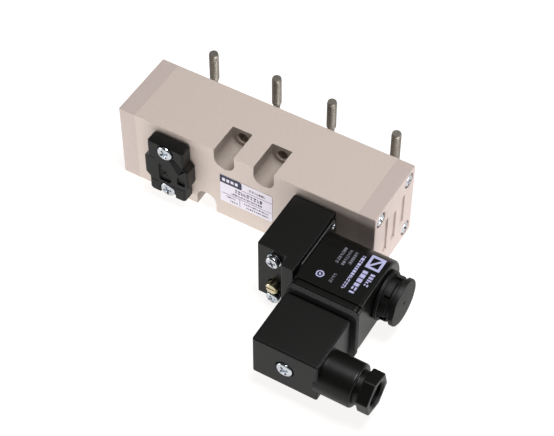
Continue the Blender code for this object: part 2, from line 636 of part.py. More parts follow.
def add_pilot_block(plastic, rubber, steel):
    back = FRONT_Y - GAP
    outline = [
        (BLOCK_LEFT, back), (BLOCK_LEFT, BLOCK_FRONT), (BLOCK_COLUMN_LEFT, BLOCK_FRONT),
        (BLOCK_COLUMN_LEFT, BLOCK_COLUMN_FRONT), (BLOCK_RIGHT, BLOCK_COLUMN_FRONT), (BLOCK_RIGHT, back),
    ]
    block = add("pilot_block", prism(outline, BLOCK_BOTTOM, BLOCK_TOP), plastic)
    chamfer(block, 0.5 * MM)
    cavity = along_x(disc(CAVITY_FLOOR, BLOCK_RIGHT + 1 * MM, CAVITY_RADIUS))
    cut(block, moved(cavity, (0, TUBE_Y, TUBE_Z)))
    middle_x, middle_z = (BLOCK_LEFT + BLOCK_RIGHT) / 2, (BLOCK_TOP + BLOCK_BOTTOM) / 2
    seat = rounded_rectangle(16.0 * MM, 27.0 * MM, 1.5 * MM, 2, (middle_x, middle_z))
    cut(block, facing_front(prism(seat, -back - 1 * MM, -back + 1.1 * MM)))
    past = back + 1 * MM
    seat_hole = (CAVITY_FLOOR + 0.5 * MM, TUBE_Y, TUBE_Z), (SUPPLY_X - 0.7 * MM, TUBE_Y, TUBE_Z)
    supply = (SUPPLY_X, TUBE_Y - 0.5 * MM, TUBE_Z), (SUPPLY_X, past, TUBE_Z)
    outlet = (OUTLET_X, TUBE_Y + 4 * MM, GALLERY_Z), (OUTLET_X, past, GALLERY_Z)
    for (start, end), radius in ((seat_hole, 0.9 * MM), (supply, 0.8 * MM), (outlet, 1.0 * MM)):
        cut(block, drilling(start, end, radius, 8))
    for z in BLOCK_SCREW_HEIGHTS:
        start, end = (BLOCK_SCREW_X, BLOCK_FRONT - 1 * MM, z), (BLOCK_SCREW_X, past, z)
        cut(block, drilling(start, end, 1.7 * MM, 12))
    for y, z in plate_screw_places():
        y, z = TUBE_Y + y, TUBE_Z + z
        cut(block, drilling((BLOCK_RIGHT - 7 * MM, y, z), (BLOCK_RIGHT + 1 * MM, y, z), 1.3 * MM))
    for depth, radius in ((OVERRIDE_DEPTH, OVERRIDE_RADIUS), (11.7 * MM, OVERRIDE_STEM_RADIUS)):
        start = (OVERRIDE_X, BLOCK_FRONT - 1 * MM, OVERRIDE_Z)
        end = (OVERRIDE_X, BLOCK_FRONT + depth + GAP, OVERRIDE_Z)
        cut(block, drilling(start, end, radius + GAP, 16))

    outline = rounded_rectangle(15.6 * MM, 26.6 * MM, 1.3 * MM, 2, (middle_x, middle_z))
    gasket = add("pilot_block_gasket", facing_front(prism(outline, -back, -back + 1.0 * MM)), rubber)
    holes = [(SUPPLY_X, TUBE_Z, 1.2 * MM), (OUTLET_X, GALLERY_Z, 1.3 * MM)]
    holes += [(BLOCK_SCREW_X, z, 2.0 * MM) for z in BLOCK_SCREW_HEIGHTS]
    for x, z, radius in holes:
        cut(gasket, drilling((x, back - 2 * MM, z), (x, past, z), radius, 8))

    screw = pan_head_screw("pilot_block_screw", 3.3 * MM, 2.9 * MM, 1.4 * MM, 36.5 * MM)
    for where, z in zip(("upper", "lower"), BLOCK_SCREW_HEIGHTS):
        at = (BLOCK_SCREW_X, BLOCK_FRONT - 0.2 * MM, z)
        add_screw(f"pilot_block_screw_{where}", screw, steel, at, TOWARDS_FRONT)


def add_manual_override(brass):
    """A slotted brass pin. Its local Z faces the front, and its origin lies in the block's front face."""
    radius, stem = OVERRIDE_RADIUS, OVERRIDE_STEM_RADIUS
    pin = add("manual_override", turned([
        (-11.6 * MM, 0.0), (-11.6 * MM, stem), (-OVERRIDE_DEPTH, stem), (-OVERRIDE_DEPTH, radius),
        (2.8 * MM, radius), (3.1 * MM, radius - 0.3 * MM), (3.1 * MM, 0.0),
    ]), brass, (OVERRIDE_X, BLOCK_FRONT, OVERRIDE_Z), TOWARDS_FRONT)
    cut(pin, box((-3 * MM, -0.4 * MM, 2.2 * MM), (3 * MM, 0.4 * MM, 4 * MM)))


def plate_screw_places():
    y, z = PLATE_SCREW_OFFSET
    return ((y, z), (-y, -z))


def add_armature(steel, iron, rubber, tube_axis, plunger_axis):
    left, right = BLOCK_RIGHT + GAP, COIL_LEFT - GAP
    half_height, back = 14.6 * MM, 14.5 * MM
    corner = math.degrees(math.asin(half_height / PLATE_REACH))
    outline = arc((0, 0), PLATE_REACH, 180 - corner, 180 + corner, 10)
    outline += [(13 * MM, -half_height), (back, -13.1 * MM), (back, 13.1 * MM), (13 * MM, half_height)]
    plate = add("armature_plate", along_tube(prism(outline, left, right)), steel, parent=tube_axis)
    cut(plate, along_x(disc(44 * MM, 47 * MM, TUBE_RADIUS + 0.3 * MM)))
    hole = [
        (-2 * MM, 0.0), (-2 * MM, 1.15 * MM), (-0.75 * MM, 1.15 * MM), (0.3 * MM, 2.3 * MM), (0.3 * MM, 0.0),
    ]
    head = [
        (-6.5 * MM, 0.0), (-6.5 * MM, 1.0 * MM), (-0.85 * MM, 1.0 * MM), (-0.05 * MM, 1.85 * MM),
        (-0.05 * MM, 0.0),
    ]
    screw = mesh_of("plate_screw", turned(head, 12))
    for where, (y, z) in zip(("upper", "lower"), plate_screw_places()):
        cut(plate, moved(along_x(turned(hole, 12)), (right, y, z)))
        obj = add(f"plate_screw_{where}", screw, steel, (right, y, z), ALONG_X, tube_axis)
        cut(obj, box((-1.1 * MM, -0.25 * MM, -0.5 * MM), (1.1 * MM, 0.25 * MM, 1 * MM)))
    tube = [
        (37.5 * MM, TUBE_BORE_RADIUS), (37.5 * MM, 8.1 * MM), (43.9 * MM, 8.1 * MM),
        (43.9 * MM, TUBE_RADIUS), (TUBE_END, TUBE_RADIUS), (TUBE_END, TUBE_BORE_RADIUS),
    ]
    add("armature_tube", turned(tube), steel, rotation=ALONG_X, parent=tube_axis)
    seal = ring(CAVITY_FLOOR + 0.2 * MM, 37.2 * MM, 5.8 * MM, 8.0 * MM)
    add("tube_o_ring", seal, rubber, rotation=ALONG_X, parent=tube_axis)
    core = [
        (56.8 * MM, 0.0), (56.8 * MM, 4.7 * MM), (TUBE_END + 0.1 * MM, 4.7 * MM),
        (TUBE_END + 0.1 * MM, 5.9 * MM),
        (77.6 * MM, 5.9 * MM), (77.6 * MM, 3.6 * MM), (82.8 * MM, 3.6 * MM), (82.8 * MM, 0.0),
    ]
    add("fixed_core", turned(core), iron, rotation=ALONG_X, parent=tube_axis)
    plunger = [
        (37.0 * MM, 0.0), (37.0 * MM, 2.2 * MM), (36.1 * MM, 2.2 * MM), (36.1 * MM, 3.2 * MM),
        (40.0 * MM, 3.2 * MM), (41.0 * MM, 4.7 * MM), (55.7 * MM, 4.7 * MM), (55.7 * MM, 2.7 * MM),
        (47.6 * MM, 2.7 * MM), (47.6 * MM, 0.0),
    ]
    add("plunger", turned(plunger), iron, rotation=ALONG_X, parent=plunger_axis)
    seal = disc(35.7 * MM, 36.8 * MM, 2.0 * MM, 16)
    add("plunger_seat_seal", seal, rubber, rotation=ALONG_X, parent=plunger_axis)
    spring = helix(47.8 * MM, 56.6 * MM, 2.05 * MM, 0.28 * MM, 6, 8, 4)
    add("plunger_spring", spring, steel, rotation=ALONG_X, parent=tube_axis)


# ---------------------------------------------------------------- coil, drawn about the tube's axis


def along_tube(bm):
    """Turns a shape drawn in Y and Z, extruded along local Z, so that it runs along X."""
    bm.transform(Matrix(((0, 0, 1, 0), (1, 0, 0, 0), (0, 1, 0, 0), (0, 0, 0, 1))))
    return bm


def blade_places():
    """(x, z, width along X, width along Z) of the three blades, about the tube's axis in Z."""
    half = BLADE_SPACING / 2
    thin, wide = 0.8 * MM, 5.0 * MM
    upright = [(PLUG_X + x, 0.0, thin, wide) for x in (-half, half)]
    return (*upright, (PLUG_X, -6.6 * MM, wide, thin))


def coil_outline(front, inset):
    """The coil's outline in Y and Z about the tube's axis: round at the back, square at the front."""
    radius, bottom = COIL_RADIUS - inset, COIL_BOTTOM + inset
    outline = arc((0, 0), radius, math.degrees(math.asin(bottom / radius)), 90, 18)
    return outline + [(front, radius), (front, bottom)]


def add_coil(plastic, copper, bobbin_plastic, steel, coil_axis):
    front = COIL_FRONT - TUBE_Y
    sections = [(coil_outline(front, 0.3 * MM), COIL_LEFT), (coil_outline(front, 0.0), COIL_LEFT + 0.3 * MM)]
    for back, inset in ((1.4, 0.0), (0.4, 0.4), (0.0, 1.4)):
        sections.append((coil_outline(front, inset * MM), COIL_RIGHT - back * MM))
    coil = add("coil_housing", along_tube(loft(sections)), plastic, parent=coil_axis)
    flange_width = FLANGE_RIGHT - FLANGE_LEFT
    flange_centre = (FLANGE_LEFT + flange_width / 2, 0)
    flange = rounded_rectangle(flange_width, 2 * FLANGE_HALF_HEIGHT, 2.5 * MM, 3, flange_centre)
    combine(coil, facing_front(prism(flange, -front - 0.2 * MM, TUBE_Y - FLANGE_FRONT)), "UNION")
    cut(coil, along_x(disc(COIL_LEFT - 1 * MM, COIL_RIGHT + 1 * MM, COIL_BORE_RADIUS)))
    cut(coil, along_x(disc(48.9 * MM, 73.7 * MM, 12.4 * MM)))
    flange_y = FLANGE_FRONT - TUBE_Y
    cut(coil, drilling((PLUG_X, flange_y - 1 * MM, 0), (PLUG_X, -16.3 * MM, 0), 1.7 * MM))
    for x, z, wide, tall in blade_places():
        room = 0.15 * MM
        low = (x - wide / 2 - room, flange_y - 1 * MM, z - tall / 2 - room)
        cut(coil, box(low, (x + wide / 2 + room, -18.0 * MM, z + tall / 2 + room)))

    bobbin = [
        (49.2 * MM, 6.75 * MM), (49.2 * MM, 12.1 * MM), (50.3 * MM, 12.1 * MM), (50.3 * MM, 7.5 * MM),
        (72.3 * MM, 7.5 * MM), (72.3 * MM, 12.1 * MM), (73.4 * MM, 12.1 * MM), (73.4 * MM, 6.75 * MM),
    ]
    add("coil_bobbin", turned(bobbin), bobbin_plastic, rotation=ALONG_X, parent=coil_axis)
    winding = ring(50.6 * MM, 72.0 * MM, 7.8 * MM, 11.8 * MM)
    add("coil_winding", winding, copper, rotation=ALONG_X, parent=coil_axis)
    for side, (x, z, wide, tall) in zip(("left", "right", "earth"), blade_places()):
        shape = box((-wide / 2, -32.0 * MM, -tall / 2), (wide / 2, -18.3 * MM, tall / 2))
        add(f"coil_blade_{side}", shape, steel, (x, 0, z), parent=coil_axis)


def add_coil_nut(plastic, nut_axis):
    profile = [
        (NUT_LEFT, 6.6 * MM), (NUT_LEFT, 10.9 * MM), (78.2 * MM, 10.9 * MM), (78.2 * MM, 9.5 * MM),
        (78.9 * MM, 9.5 * MM), (78.9 * MM, 10.0 * MM), (81.6 * MM, 10.0 * MM), (81.6 * MM, 8.6 * MM),
        (83.2 * MM, 8.6 * MM), (83.2 * MM, 10.5 * MM), (85.0 * MM, 10.5 * MM), (NUT_RIGHT, 10.1 * MM),
        (NUT_RIGHT, 0.7 * MM), (83.2 * MM, 0.7 * MM), (83.2 * MM, 3.9 * MM), (78.0 * MM, 3.9 * MM),
        (78.0 * MM, 6.6 * MM),
    ]
    nut = add("coil_nut", turned(profile, 24), plastic, rotation=ALONG_X, parent=nut_axis)
    for i in range(6):
        slot = box((-1 * MM, 9.0 * MM, 79.0 * MM), (1 * MM, 12 * MM, 81.7 * MM))
        slot.transform(Matrix.Rotation(math.radians(60 * i + 15), 4, "Z"))
        cut(nut, slot)
    for turn in (70, 250):
        flat = box((9.9 * MM, -8 * MM, 83.0 * MM), (12 * MM, 8 * MM, 86 * MM))
        flat.transform(Matrix.Rotation(math.radians(turn), 4, "Z"))
        cut(nut, flat)


# ---------------------------------------------------------------- plug, which turns with the coil


def add_plug(plastic, insert_plastic, rubber, steel, coil_axis):
    back, front = PLUG_BACK - TUBE_Y, PLUG_FRONT - TUBE_Y
    gasket_outline = rounded_rectangle(32.2 * MM, 28.2 * MM, 3.0 * MM, 4, (60.9 * MM, -0.2 * MM))
    shape = facing_front(prism(gasket_outline, 22.9 * MM, 25.5 * MM))
    gasket = add("connector_gasket", shape, rubber, parent=coil_axis)
    chamfer(gasket, 0.4 * MM)
    cut(gasket, box((PLUG_X - 10 * MM, -27 * MM, -8.6 * MM), (PLUG_X + 10 * MM, -21 * MM, 8.6 * MM)))

    low = (PLUG_X - PLUG_WIDTH / 2, front, -PLUG_HEIGHT / 2)
    high = (PLUG_X + PLUG_WIDTH / 2, back, PLUG_HEIGHT / 2)
    plug = add("plug_housing", box(low, high), plastic, parent=coil_axis)
    chamfer(plug, 0.9 * MM, 2)
    gland_place = (0, GLAND_Y - TUBE_Y, GLAND_Z - TUBE_Z)
    neck = [
        (high[0] - 2 * MM, 0.0), (high[0] - 2 * MM, 9.4 * MM), (GLAND_NECK_END - 0.8 * MM, 9.4 * MM),
        (GLAND_NECK_END, 8.6 * MM), (GLAND_NECK_END, 7.3 * MM), (GLAND_SPIGOT_END, 7.3 * MM),
        (GLAND_SPIGOT_END, 0.0),
    ]
    combine(plug, moved(along_x(turned(neck, 24)), gland_place), "UNION")
    inner_low = (low[0] + PLUG_WALL, front + 4.0 * MM, low[2] + PLUG_WALL)
    inner_high = (high[0] - PLUG_WALL, back + 1 * MM, high[2] - PLUG_WALL)
    cut(plug, box(inner_low, inner_high))
    bore = disc(inner_high[0] - 1 * MM, GLAND_SPIGOT_END + 1 * MM, 6.3 * MM)
    cut(plug, moved(along_x(bore), gland_place))
    cut(plug, drilling((PLUG_X, front - 1 * MM, 0), (PLUG_X, front + 1.3 * MM, 0), 4.1 * MM, 24))
    cut(plug, drilling((PLUG_X, front, 0), (PLUG_X, front + 5 * MM, 0), 1.8 * MM, 12))

    insert_low = (inner_low[0] + 0.3 * MM, -35.8 * MM, inner_low[2] + 0.3 * MM)
    insert_high = (inner_high[0] - 0.3 * MM, -26.1 * MM, inner_high[2] - 0.3 * MM)
    insert = add("terminal_insert", box(insert_low, insert_high), insert_plastic, parent=coil_axis)
    cut(insert, drilling((PLUG_X, -37 * MM, 0), (PLUG_X, -25 * MM, 0), 1.8 * MM, 12))
    for x, z, wide, tall in blade_places():
        half_x, half_z = wide / 2 + GAP, tall / 2 + GAP
        cut(insert, box((x - half_x, -33 * MM, z - half_z), (x + half_x, -25 * MM, z + half_z)))

    screw = pan_head_screw("plug_screw", 3.6 * MM, 2.0 * MM, 1.35 * MM, 33.0 * MM)
    add_screw("plug_screw", screw, steel, (PLUG_X, front + 1.2 * MM, 0), TOWARDS_FRONT, coil_axis)
    grommet = ring(84.0 * MM, 94.3 * MM, 3.2 * MM, 6.0 * MM)
    add("gland_grommet", grommet, rubber, gland_place, ALONG_X, coil_axis)


def add_gland_nut(plastic, gland_axis):
    shape = prism(arc((0, 0), 9.2 * MM, 15, 315, 5), GLAND_NUT_LEFT, GLAND_NUT_RIGHT)
    nut = add("gland_nut", shape, plastic, rotation=ALONG_X, parent=gland_axis)
    chamfer(nut, 0.6 * MM)
    bore = [
        (GLAND_NUT_LEFT - 1 * MM, 0.0), (GLAND_NUT_LEFT - 1 * MM, 7.6 * MM), (94.8 * MM, 7.6 * MM),
        (94.8 * MM, 5.3 * MM), (GLAND_NUT_RIGHT - 0.9 * MM, 5.3 * MM),
        (GLAND_NUT_RIGHT + 0.2 * MM, 6.4 * MM),
        (GLAND_NUT_RIGHT + 0.2 * MM, 0.0),
    ]
    cut(nut, turned(bore))


# ---------------------------------------------------------------- mounting screws and label


def add_mounting_screws(steel):
    """Captive socket-head screws. Local Z runs from the head's top, which is on the table, to the tip."""
    length = MOUNTING_SCREW_LENGTH
    mesh = mesh_of("mounting_screw", turned([
        (0.0, 0.0), (0.0, 3.2 * MM), (0.3 * MM, 3.5 * MM), (4.0 * MM, 3.5 * MM), (4.0 * MM, 1.5 * MM),
        (17.0 * MM, 1.5 * MM), (17.5 * MM, 2.0 * MM), (length - 0.4 * MM, 2.0 * MM), (length, 1.5 * MM),
        (length, 0.0),
    ]))
    socket = arc((0, 0), 1.73 * MM, 0, 300, 5)
    for number, (x, y) in enumerate(MOUNTING_SCREW_PLACES, 1):
        screw = add(f"mounting_screw_{number}", mesh, steel, (x, y, 0))
        cut(screw, prism(socket, -1 * MM, 2.0 * MM))


def add_label(paper):
    """A thin rating label on the front face, between the cover and the pilot block."""
    front = FRONT_Y - 0.05 * MM
    shape = box((-11.9 * MM, front - 0.15 * MM, 10.0 * MM), (14.0 * MM, front, 26.5 * MM))
    add("rating_label", shape, paper)


def build():
    clear_scene()
    paint = make_material("beige_paint", (0.64, 0.56, 0.50), 0.55)
    black = make_material("black_plastic", (0.022, 0.022, 0.021), 0.5)
    grey = make_material("grey_plastic", (0.25, 0.25, 0.26), 0.5)
    rubber = make_material("black_rubber", (0.018, 0.018, 0.018), 0.85)
    zinc = make_material("zinc_plated_steel", (0.72, 0.73, 0.75), 0.28, 1.0)
    steel = make_material("bare_steel", (0.55, 0.54, 0.52), 0.35, 1.0)
    iron = make_material("soft_iron", (0.35, 0.34, 0.33), 0.45, 1.0)
    brass = make_material("brass", (0.83, 0.62, 0.29), 0.3, 1.0)
    copper = make_material("enamelled_copper", (0.60, 0.26, 0.12), 0.35, 1.0)
    aluminium = make_material("anodised_aluminium", (0.75, 0.76, 0.78), 0.3, 1.0)
    paper = make_material("white_label", (0.85, 0.85, 0.88), 0.4)

    spool_axis = add_axis("spool_axis", (0, 0, SPOOL_Z))
    tube_axis = add_axis("tube_axis", (0, TUBE_Y, TUBE_Z))
    plunger_axis = add_axis("plunger_axis", (0, TUBE_Y, TUBE_Z))
    coil_axis = add_axis("coil_axis", (0, TUBE_Y, TUBE_Z))
    nut_axis = add_axis("coil_nut_axis", (0, TUBE_Y, TUBE_Z))
    gland_axis = add_axis("gland_axis", (0, GLAND_Y, GLAND_Z))

    add_valve_body(paint)
    for end in (-1, 1):
        add_end_cap(end, paint)
        add_cap_gasket(end, rubber)
    add_cap_screws(zinc)
    add_mounting_gasket(rubber)
    add_spool(aluminium, rubber, spool_axis)
    add_piston(grey, rubber, spool_axis)
    add_return_spring(steel)
    add_blanking_cover(black, rubber, zinc)
    add_pilot_block(black, rubber, zinc)
    add_manual_override(brass)
    add_armature(zinc, iron, rubber, tube_axis, plunger_axis)
    add_coil(black, copper, grey, steel, coil_axis)
    add_coil_nut(black, nut_axis)
    add_plug(black, grey, rubber, zinc, coil_axis)
    add_gland_nut(black, gland_axis)
    add_mounting_screws(steel)
    add_label(paper)


build()
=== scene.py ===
"""Visual scene of a solenoid directional valve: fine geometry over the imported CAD, looks, stage and
camera.

Shapes are drawn in millimetres in the frame of the CAD (origin at the centre of the body's underside, +X
towards the pilot end, +Y towards the base plate, +Z up) and turned into metres when a piece is made.
"""

import math
import random

import bmesh
import bpy
from mathutils import Matrix, Vector


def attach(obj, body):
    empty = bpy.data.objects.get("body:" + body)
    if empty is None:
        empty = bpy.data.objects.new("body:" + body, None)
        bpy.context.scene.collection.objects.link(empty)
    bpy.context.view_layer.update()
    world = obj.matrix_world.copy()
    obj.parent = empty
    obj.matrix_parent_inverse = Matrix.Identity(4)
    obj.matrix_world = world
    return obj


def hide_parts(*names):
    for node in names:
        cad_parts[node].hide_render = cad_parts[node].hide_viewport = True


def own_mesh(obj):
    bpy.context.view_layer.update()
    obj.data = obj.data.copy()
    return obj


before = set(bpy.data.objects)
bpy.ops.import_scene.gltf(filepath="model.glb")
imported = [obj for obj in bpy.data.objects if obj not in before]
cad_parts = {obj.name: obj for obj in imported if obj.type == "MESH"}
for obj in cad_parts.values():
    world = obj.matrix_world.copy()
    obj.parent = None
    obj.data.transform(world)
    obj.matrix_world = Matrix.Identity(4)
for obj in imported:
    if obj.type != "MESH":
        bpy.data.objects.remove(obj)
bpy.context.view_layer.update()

# Valve body and end caps
END_X = 54.4
CAP_X = 54.7
CAP_THICKNESS = 7.8
FRONT_Y = -17.5
BACK_Y = 17.5
BODY_HEIGHT = 40.0
SPOOL_Z = 20.0
SPOOL_AXIS = (0.0, SPOOL_Z)  # in Y and Z
EDGE = 0.45
BORE_RADIUS = 8.0
CHAMBER_RADIUS = 9.5
CHAMBER_WIDTH = 5.0
PISTON_BORE = (11.2, 5.0)  # radius and depth
SPRING_POCKET = (6.6, 4.0)
PORTS = ((-22.0, 14.5), (-11.0, 25.5), (0.0, 14.5), (11.0, 25.5), (22.0, 14.5))
NOTCH_RADIUS = 4.9  # also how far in from the top or the bottom its screw is
NOTCH_DEPTH = 15.6
NOTCH_TOP = BODY_HEIGHT - NOTCH_RADIUS
NOTCHES = ((-9.7, NOTCH_TOP, 1), (9.7, NOTCH_TOP, 1), (-19.4, NOTCH_RADIUS, -1), (19.4, NOTCH_RADIUS, -1))
CAP_SCREWS = (("front_upper", -12.5, 15.2), ("front_lower", -12.5, -15.2),
              ("back_upper", 12.5, 15.2), ("back_lower", 12.5, -15.2))
CAP_SLOTS = ((-7.2, 0.0, 10.2), (0.3, -1.3, 8.5), (7.8, 1.3, 8.5))  # Y, Z and half length

# Holes for pilot air, each (X, Y) where the hole from the front meets the one along the body
SUPPLY = (34.2, -12.0)
OUTLET = (40.0, -13.5)
OUTLET_Z = 12.5

# Spool
SEAL_PLACES = (-28.0, -11.5, -7.0, 10.5, 15.0, 29.0)
LANDS = ((-47.0, -26.5), (-13.0, -5.5), (9.0, 16.5), (27.5, 49.0))
SPOOL_RIGHT = 55.3
LAND_RADIUS = 7.7
NECK_RADIUS = 4.2

# Blanking cover
COVER = (-35.4, 20.6)  # centre in X and Z
COVER_HALF = (9.0, 15.7)
COVER_THICKNESS = 5.9
COVER_SCREW_RISES = (11.4, -12.0)
FRONT_BACK = -17.8  # back face of whatever is screwed to the front

# Pilot block, tube and coil
BLOCK_X = (24.8, 38.8, 44.6)  # left side, left side of the column, right side
BLOCK_Y = (-47.7, -53.0)  # front face, and front of the column
BLOCK_Z = (3.3, 35.1)
BLOCK_SCREWS = (("upper", 33.15, 29.4), ("lower", 33.15, 6.3))
OVERRIDE = (32.9, 12.6)
TUBE = (TUBE_Y, TUBE_Z) = (-34.0, 19.2)  # the tube's axis, in Y and Z
PLATE_SCREWS = (("upper", TUBE_Y + 12.4, TUBE_Z + 11.6), ("lower", TUBE_Y - 12.4, TUBE_Z - 11.6))
COIL_X = (46.0, 76.2)
COIL_RADIUS = 14.5
COIL_BOTTOM = -13.9
COIL_FRONT = -54.0
FLANGE_X = (45.2, 76.5)
FLANGE_FRONT = -56.6

# Plug and gland
PLUG_X = 60.1
PLUG_Y = (-59.8, -86.5)
PLUG_HALF = (14.7, 11.0)
GLAND = (-77.6, 17.7)  # the gland's axis, in Y and Z
BLADES = (("left", 54.6, 19.2, 0.8, 5.0), ("right", 65.6, 19.2, 0.8, 5.0), ("earth", 60.1, 12.6, 5.0, 0.8))

# Loose screws and label
MOUNTING_SCREWS = ((-48.5, 36.8), (-16.3, 37.7), (11.8, 37.4), (44.8, 34.9))
LABEL = (-11.9, 14.0, 10.0, 26.5)

ROUND = 64  # segments of a turned piece
SCREW_PITCH = 0.5
FACING = {
    "front": Matrix.Rotation(math.pi / 2, 4, "X"),
    "right": Matrix.Rotation(math.pi / 2, 4, "Y"),
    "left": Matrix.Rotation(-math.pi / 2, 4, "Y"),
}  # each turns local Z to -Y, +X or -X


# ---- shapes, in millimetres


def arc(centre, radius, start, end, steps):
    points = []
    for i in range(steps + 1):
        angle = math.radians(start + (end - start) * i / steps)
        points.append((centre[0] + radius * math.cos(angle), centre[1] + radius * math.sin(angle)))
    return points


def hexagon(corner, start=0):
    """A hexagon by its corners' radius, with one corner at the start angle."""
    return arc((0, 0), corner, start, start + 300, 5)


def rounded_rectangle(width, height, radius, steps=6, centre=(0.0, 0.0)):
    points = []
    for quadrant, (sx, sy) in enumerate(((1, 1), (-1, 1), (-1, -1), (1, -1))):
        corner = (centre[0] + sx * (width / 2 - radius), centre[1] + sy * (height / 2 - radius))
        points += arc(corner, radius, 90 * quadrant, 90 * quadrant + 90, steps)
    return points


def obround(width, height, centre, steps=14):
    radius = width / 2
    reach = height / 2 - radius
    top = arc((centre[0], centre[1] + reach), radius, 0, 180, steps)
    return top + arc((centre[0], centre[1] - reach), radius, 180, 360, steps)


def skin(bm, rings):
    """Joins rings with the same number of points, each to the next, and closes both ends."""
    bm.faces.new(rings[0])
    bm.faces.new(rings[-1])
    for low, high in zip(rings, rings[1:]):
        for i in range(len(low)):
            k = (i + 1) % len(low)
            bm.faces.new((low[i], low[k], high[k], high[i]))


def loft(sections):
    """A closed solid through outlines of equally many points, each (outline, height) along local Z."""
    bm = bmesh.new()
    skin(bm, [[bm.verts.new((x, y, z)) for x, y in outline] for outline, z in sections])
    bmesh.ops.recalc_face_normals(bm, faces=bm.faces)
    return bm


def grown(outline, *steps):
    """A loft through one outline at several sizes; each step is how far the outline grows, and the height."""
    return loft([(outline(growth), height) for growth, height in steps])


def rounded_end(outline, radius, height, steps):
    """The last sections of a loft, which round the edge of its end."""
    sections = []
    for i in range(steps + 1):
        turn = math.radians(90 * i / steps)
        sections.append((outline(radius * (1 - math.cos(turn))), height - radius * (1 - math.sin(turn))))
    return sections


def prism(outline, low, high):
    return loft([(outline, low), (outline, high)])


def box(low, high):
    outline = [(low[0], low[1]), (high[0], low[1]), (high[0], high[1]), (low[0], high[1])]
    return prism(outline, low[2], high[2])


def turned(profile, segments=ROUND):
    """The profile, as (distance along the axis, radius), turned once about local Z."""
    bm = bmesh.new()
    verts = [bm.verts.new((radius, 0.0, along)) for along, radius in profile]
    edges = [bm.edges.new((verts[i - 1], verts[i])) for i in range(len(verts))]
    bmesh.ops.spin(
        bm, geom=verts + edges, cent=(0, 0, 0), axis=(0, 0, 1), dvec=(0, 0, 0),
        angle=2 * math.pi, steps=segments, use_merge=True, use_duplicate=False,
    )
    bmesh.ops.remove_doubles(bm, verts=bm.verts, dist=1e-4)
    bmesh.ops.dissolve_degenerate(bm, edges=bm.edges, dist=1e-4)
    loose = [edge for edge in bm.edges if not edge.link_faces]
    bmesh.ops.delete(bm, geom=loose, context="EDGES")
    bmesh.ops.recalc_face_normals(bm, faces=bm.faces)
    return bm


def disc(low, high, radius, segments=ROUND):
    return turned([(low, 0.0), (low, radius), (high, radius), (high, 0.0)], segments)


def eased(profile, size=0.2):
    """A turned profile with its corners cut back, so that they catch the light."""
    result = []
    count = len(profile)
    for i, (z, r) in enumerate(profile):
        if r == 0.0:
            result.append((z, r))
            continue
        for other in (profile[i - 1], profile[(i + 1) % count]):
            dz, dr = other[0] - z, other[1] - r
            length = math.hypot(dz, dr)
            step = min(size, 0.4 * length)
            result.append((z + dz / length * step, r + dr / length * step))
    return result


def drilling(start, end, radius, segments=24, flare=0.0):
    """A round hole between two points; flare widens its first end, for a countersunk rim."""
    start, end = Vector(start), Vector(end)
    direction = end - start
    length = direction.length
    rim = [(0.0, radius + 1.0 + flare), (1.0 + flare, radius)] if flare else [(0.0, radius)]
    bm = turned([(0.0, 0.0), *rim, (length, radius), (length, 0.0)], segments)
    turn = Vector((0, 0, 1)).rotation_difference(direction.normalized()).to_matrix().to_4x4()
    bm.transform(Matrix.Translation(start) @ turn)
    return bm


def hole_x(y, z, start, end, *size):
    """A drilling along X; size is its radius, segments and flare."""
    return drilling((start, y, z), (end, y, z), *size)


def hole_y(x, z, start, end, *size):
    return drilling((x, start, z), (x, end, z), *size)


def moved(bm, offset):
    bm.transform(Matrix.Translation(offset))
    return bm


def turned_by(bm, degrees):
    bm.transform(Matrix.Rotation(math.radians(degrees), 4, "Z"))
    return bm


def along_x(bm, centre=(0.0, 0.0), offset=0.0):
    """Lays local Z along +X, about the axis at the given Y and Z."""
    bm.transform(Matrix.Translation((offset, *centre)) @ FACING["right"])
    return bm


def facing_front(bm, place=(0.0, 0.0, 0.0)):
    """Stands an outline drawn in local X and Y up in X and Z, with local +Z facing -Y."""
    bm.transform(Matrix.Translation(place) @ FACING["front"])
    return bm


def across_tube(bm):
    """Turns an outline drawn in Y and Z so that it is extruded along X, about the tube's axis."""
    swap = Matrix(((0, 0, 1, 0), (1, 0, 0, 0), (0, 1, 0, 0), (0, 0, 0, 1)))
    bm.transform(Matrix.Translation((0, *TUBE)) @ swap)
    return bm


def threaded(before, low, high, root, crest, pitch, after, segments=36, rows=5, run_out=1.0):
    """A turned piece whose surface between low and high carries a helical thread that fades out at both ends.
    before and after are the rest of the profile, as (place along the axis, radius), in order along the axis;
    run_out is the share of the pitch over which the thread fades at its high end."""
    bm = bmesh.new()
    turns = int(math.ceil((high - low) / pitch)) + 1
    columns = []
    for i in range(segments + 1):
        angle = 2 * math.pi * i / segments
        column = [*before, (low, root)]
        for j in range(-rows, turns * rows + 1):
            z = min(max(low + pitch * (j / rows + i / segments), low), high)
            ridge = 1.0 - abs(2.0 * (j % rows) / rows - 1.0)
            fade = min(1.0, (z - low) / pitch, (high - z) / (run_out * pitch))
            column.append((z, root + (crest - root) * min(1.0, 1.5 * ridge) * max(0.0, fade)))
        column += [(high, root), *after]
        columns.append([bm.verts.new((r * math.cos(angle), r * math.sin(angle), z)) for z, r in column])
    for left, right in zip(columns, columns[1:]):
        for j in range(len(left) - 1):
            bm.faces.new((left[j], right[j], right[j + 1], left[j + 1]))
    bmesh.ops.remove_doubles(bm, verts=bm.verts, dist=1e-4)
    bmesh.ops.dissolve_degenerate(bm, edges=bm.edges, dist=1e-5)
    bmesh.ops.recalc_face_normals(bm, faces=bm.faces)
    return bm


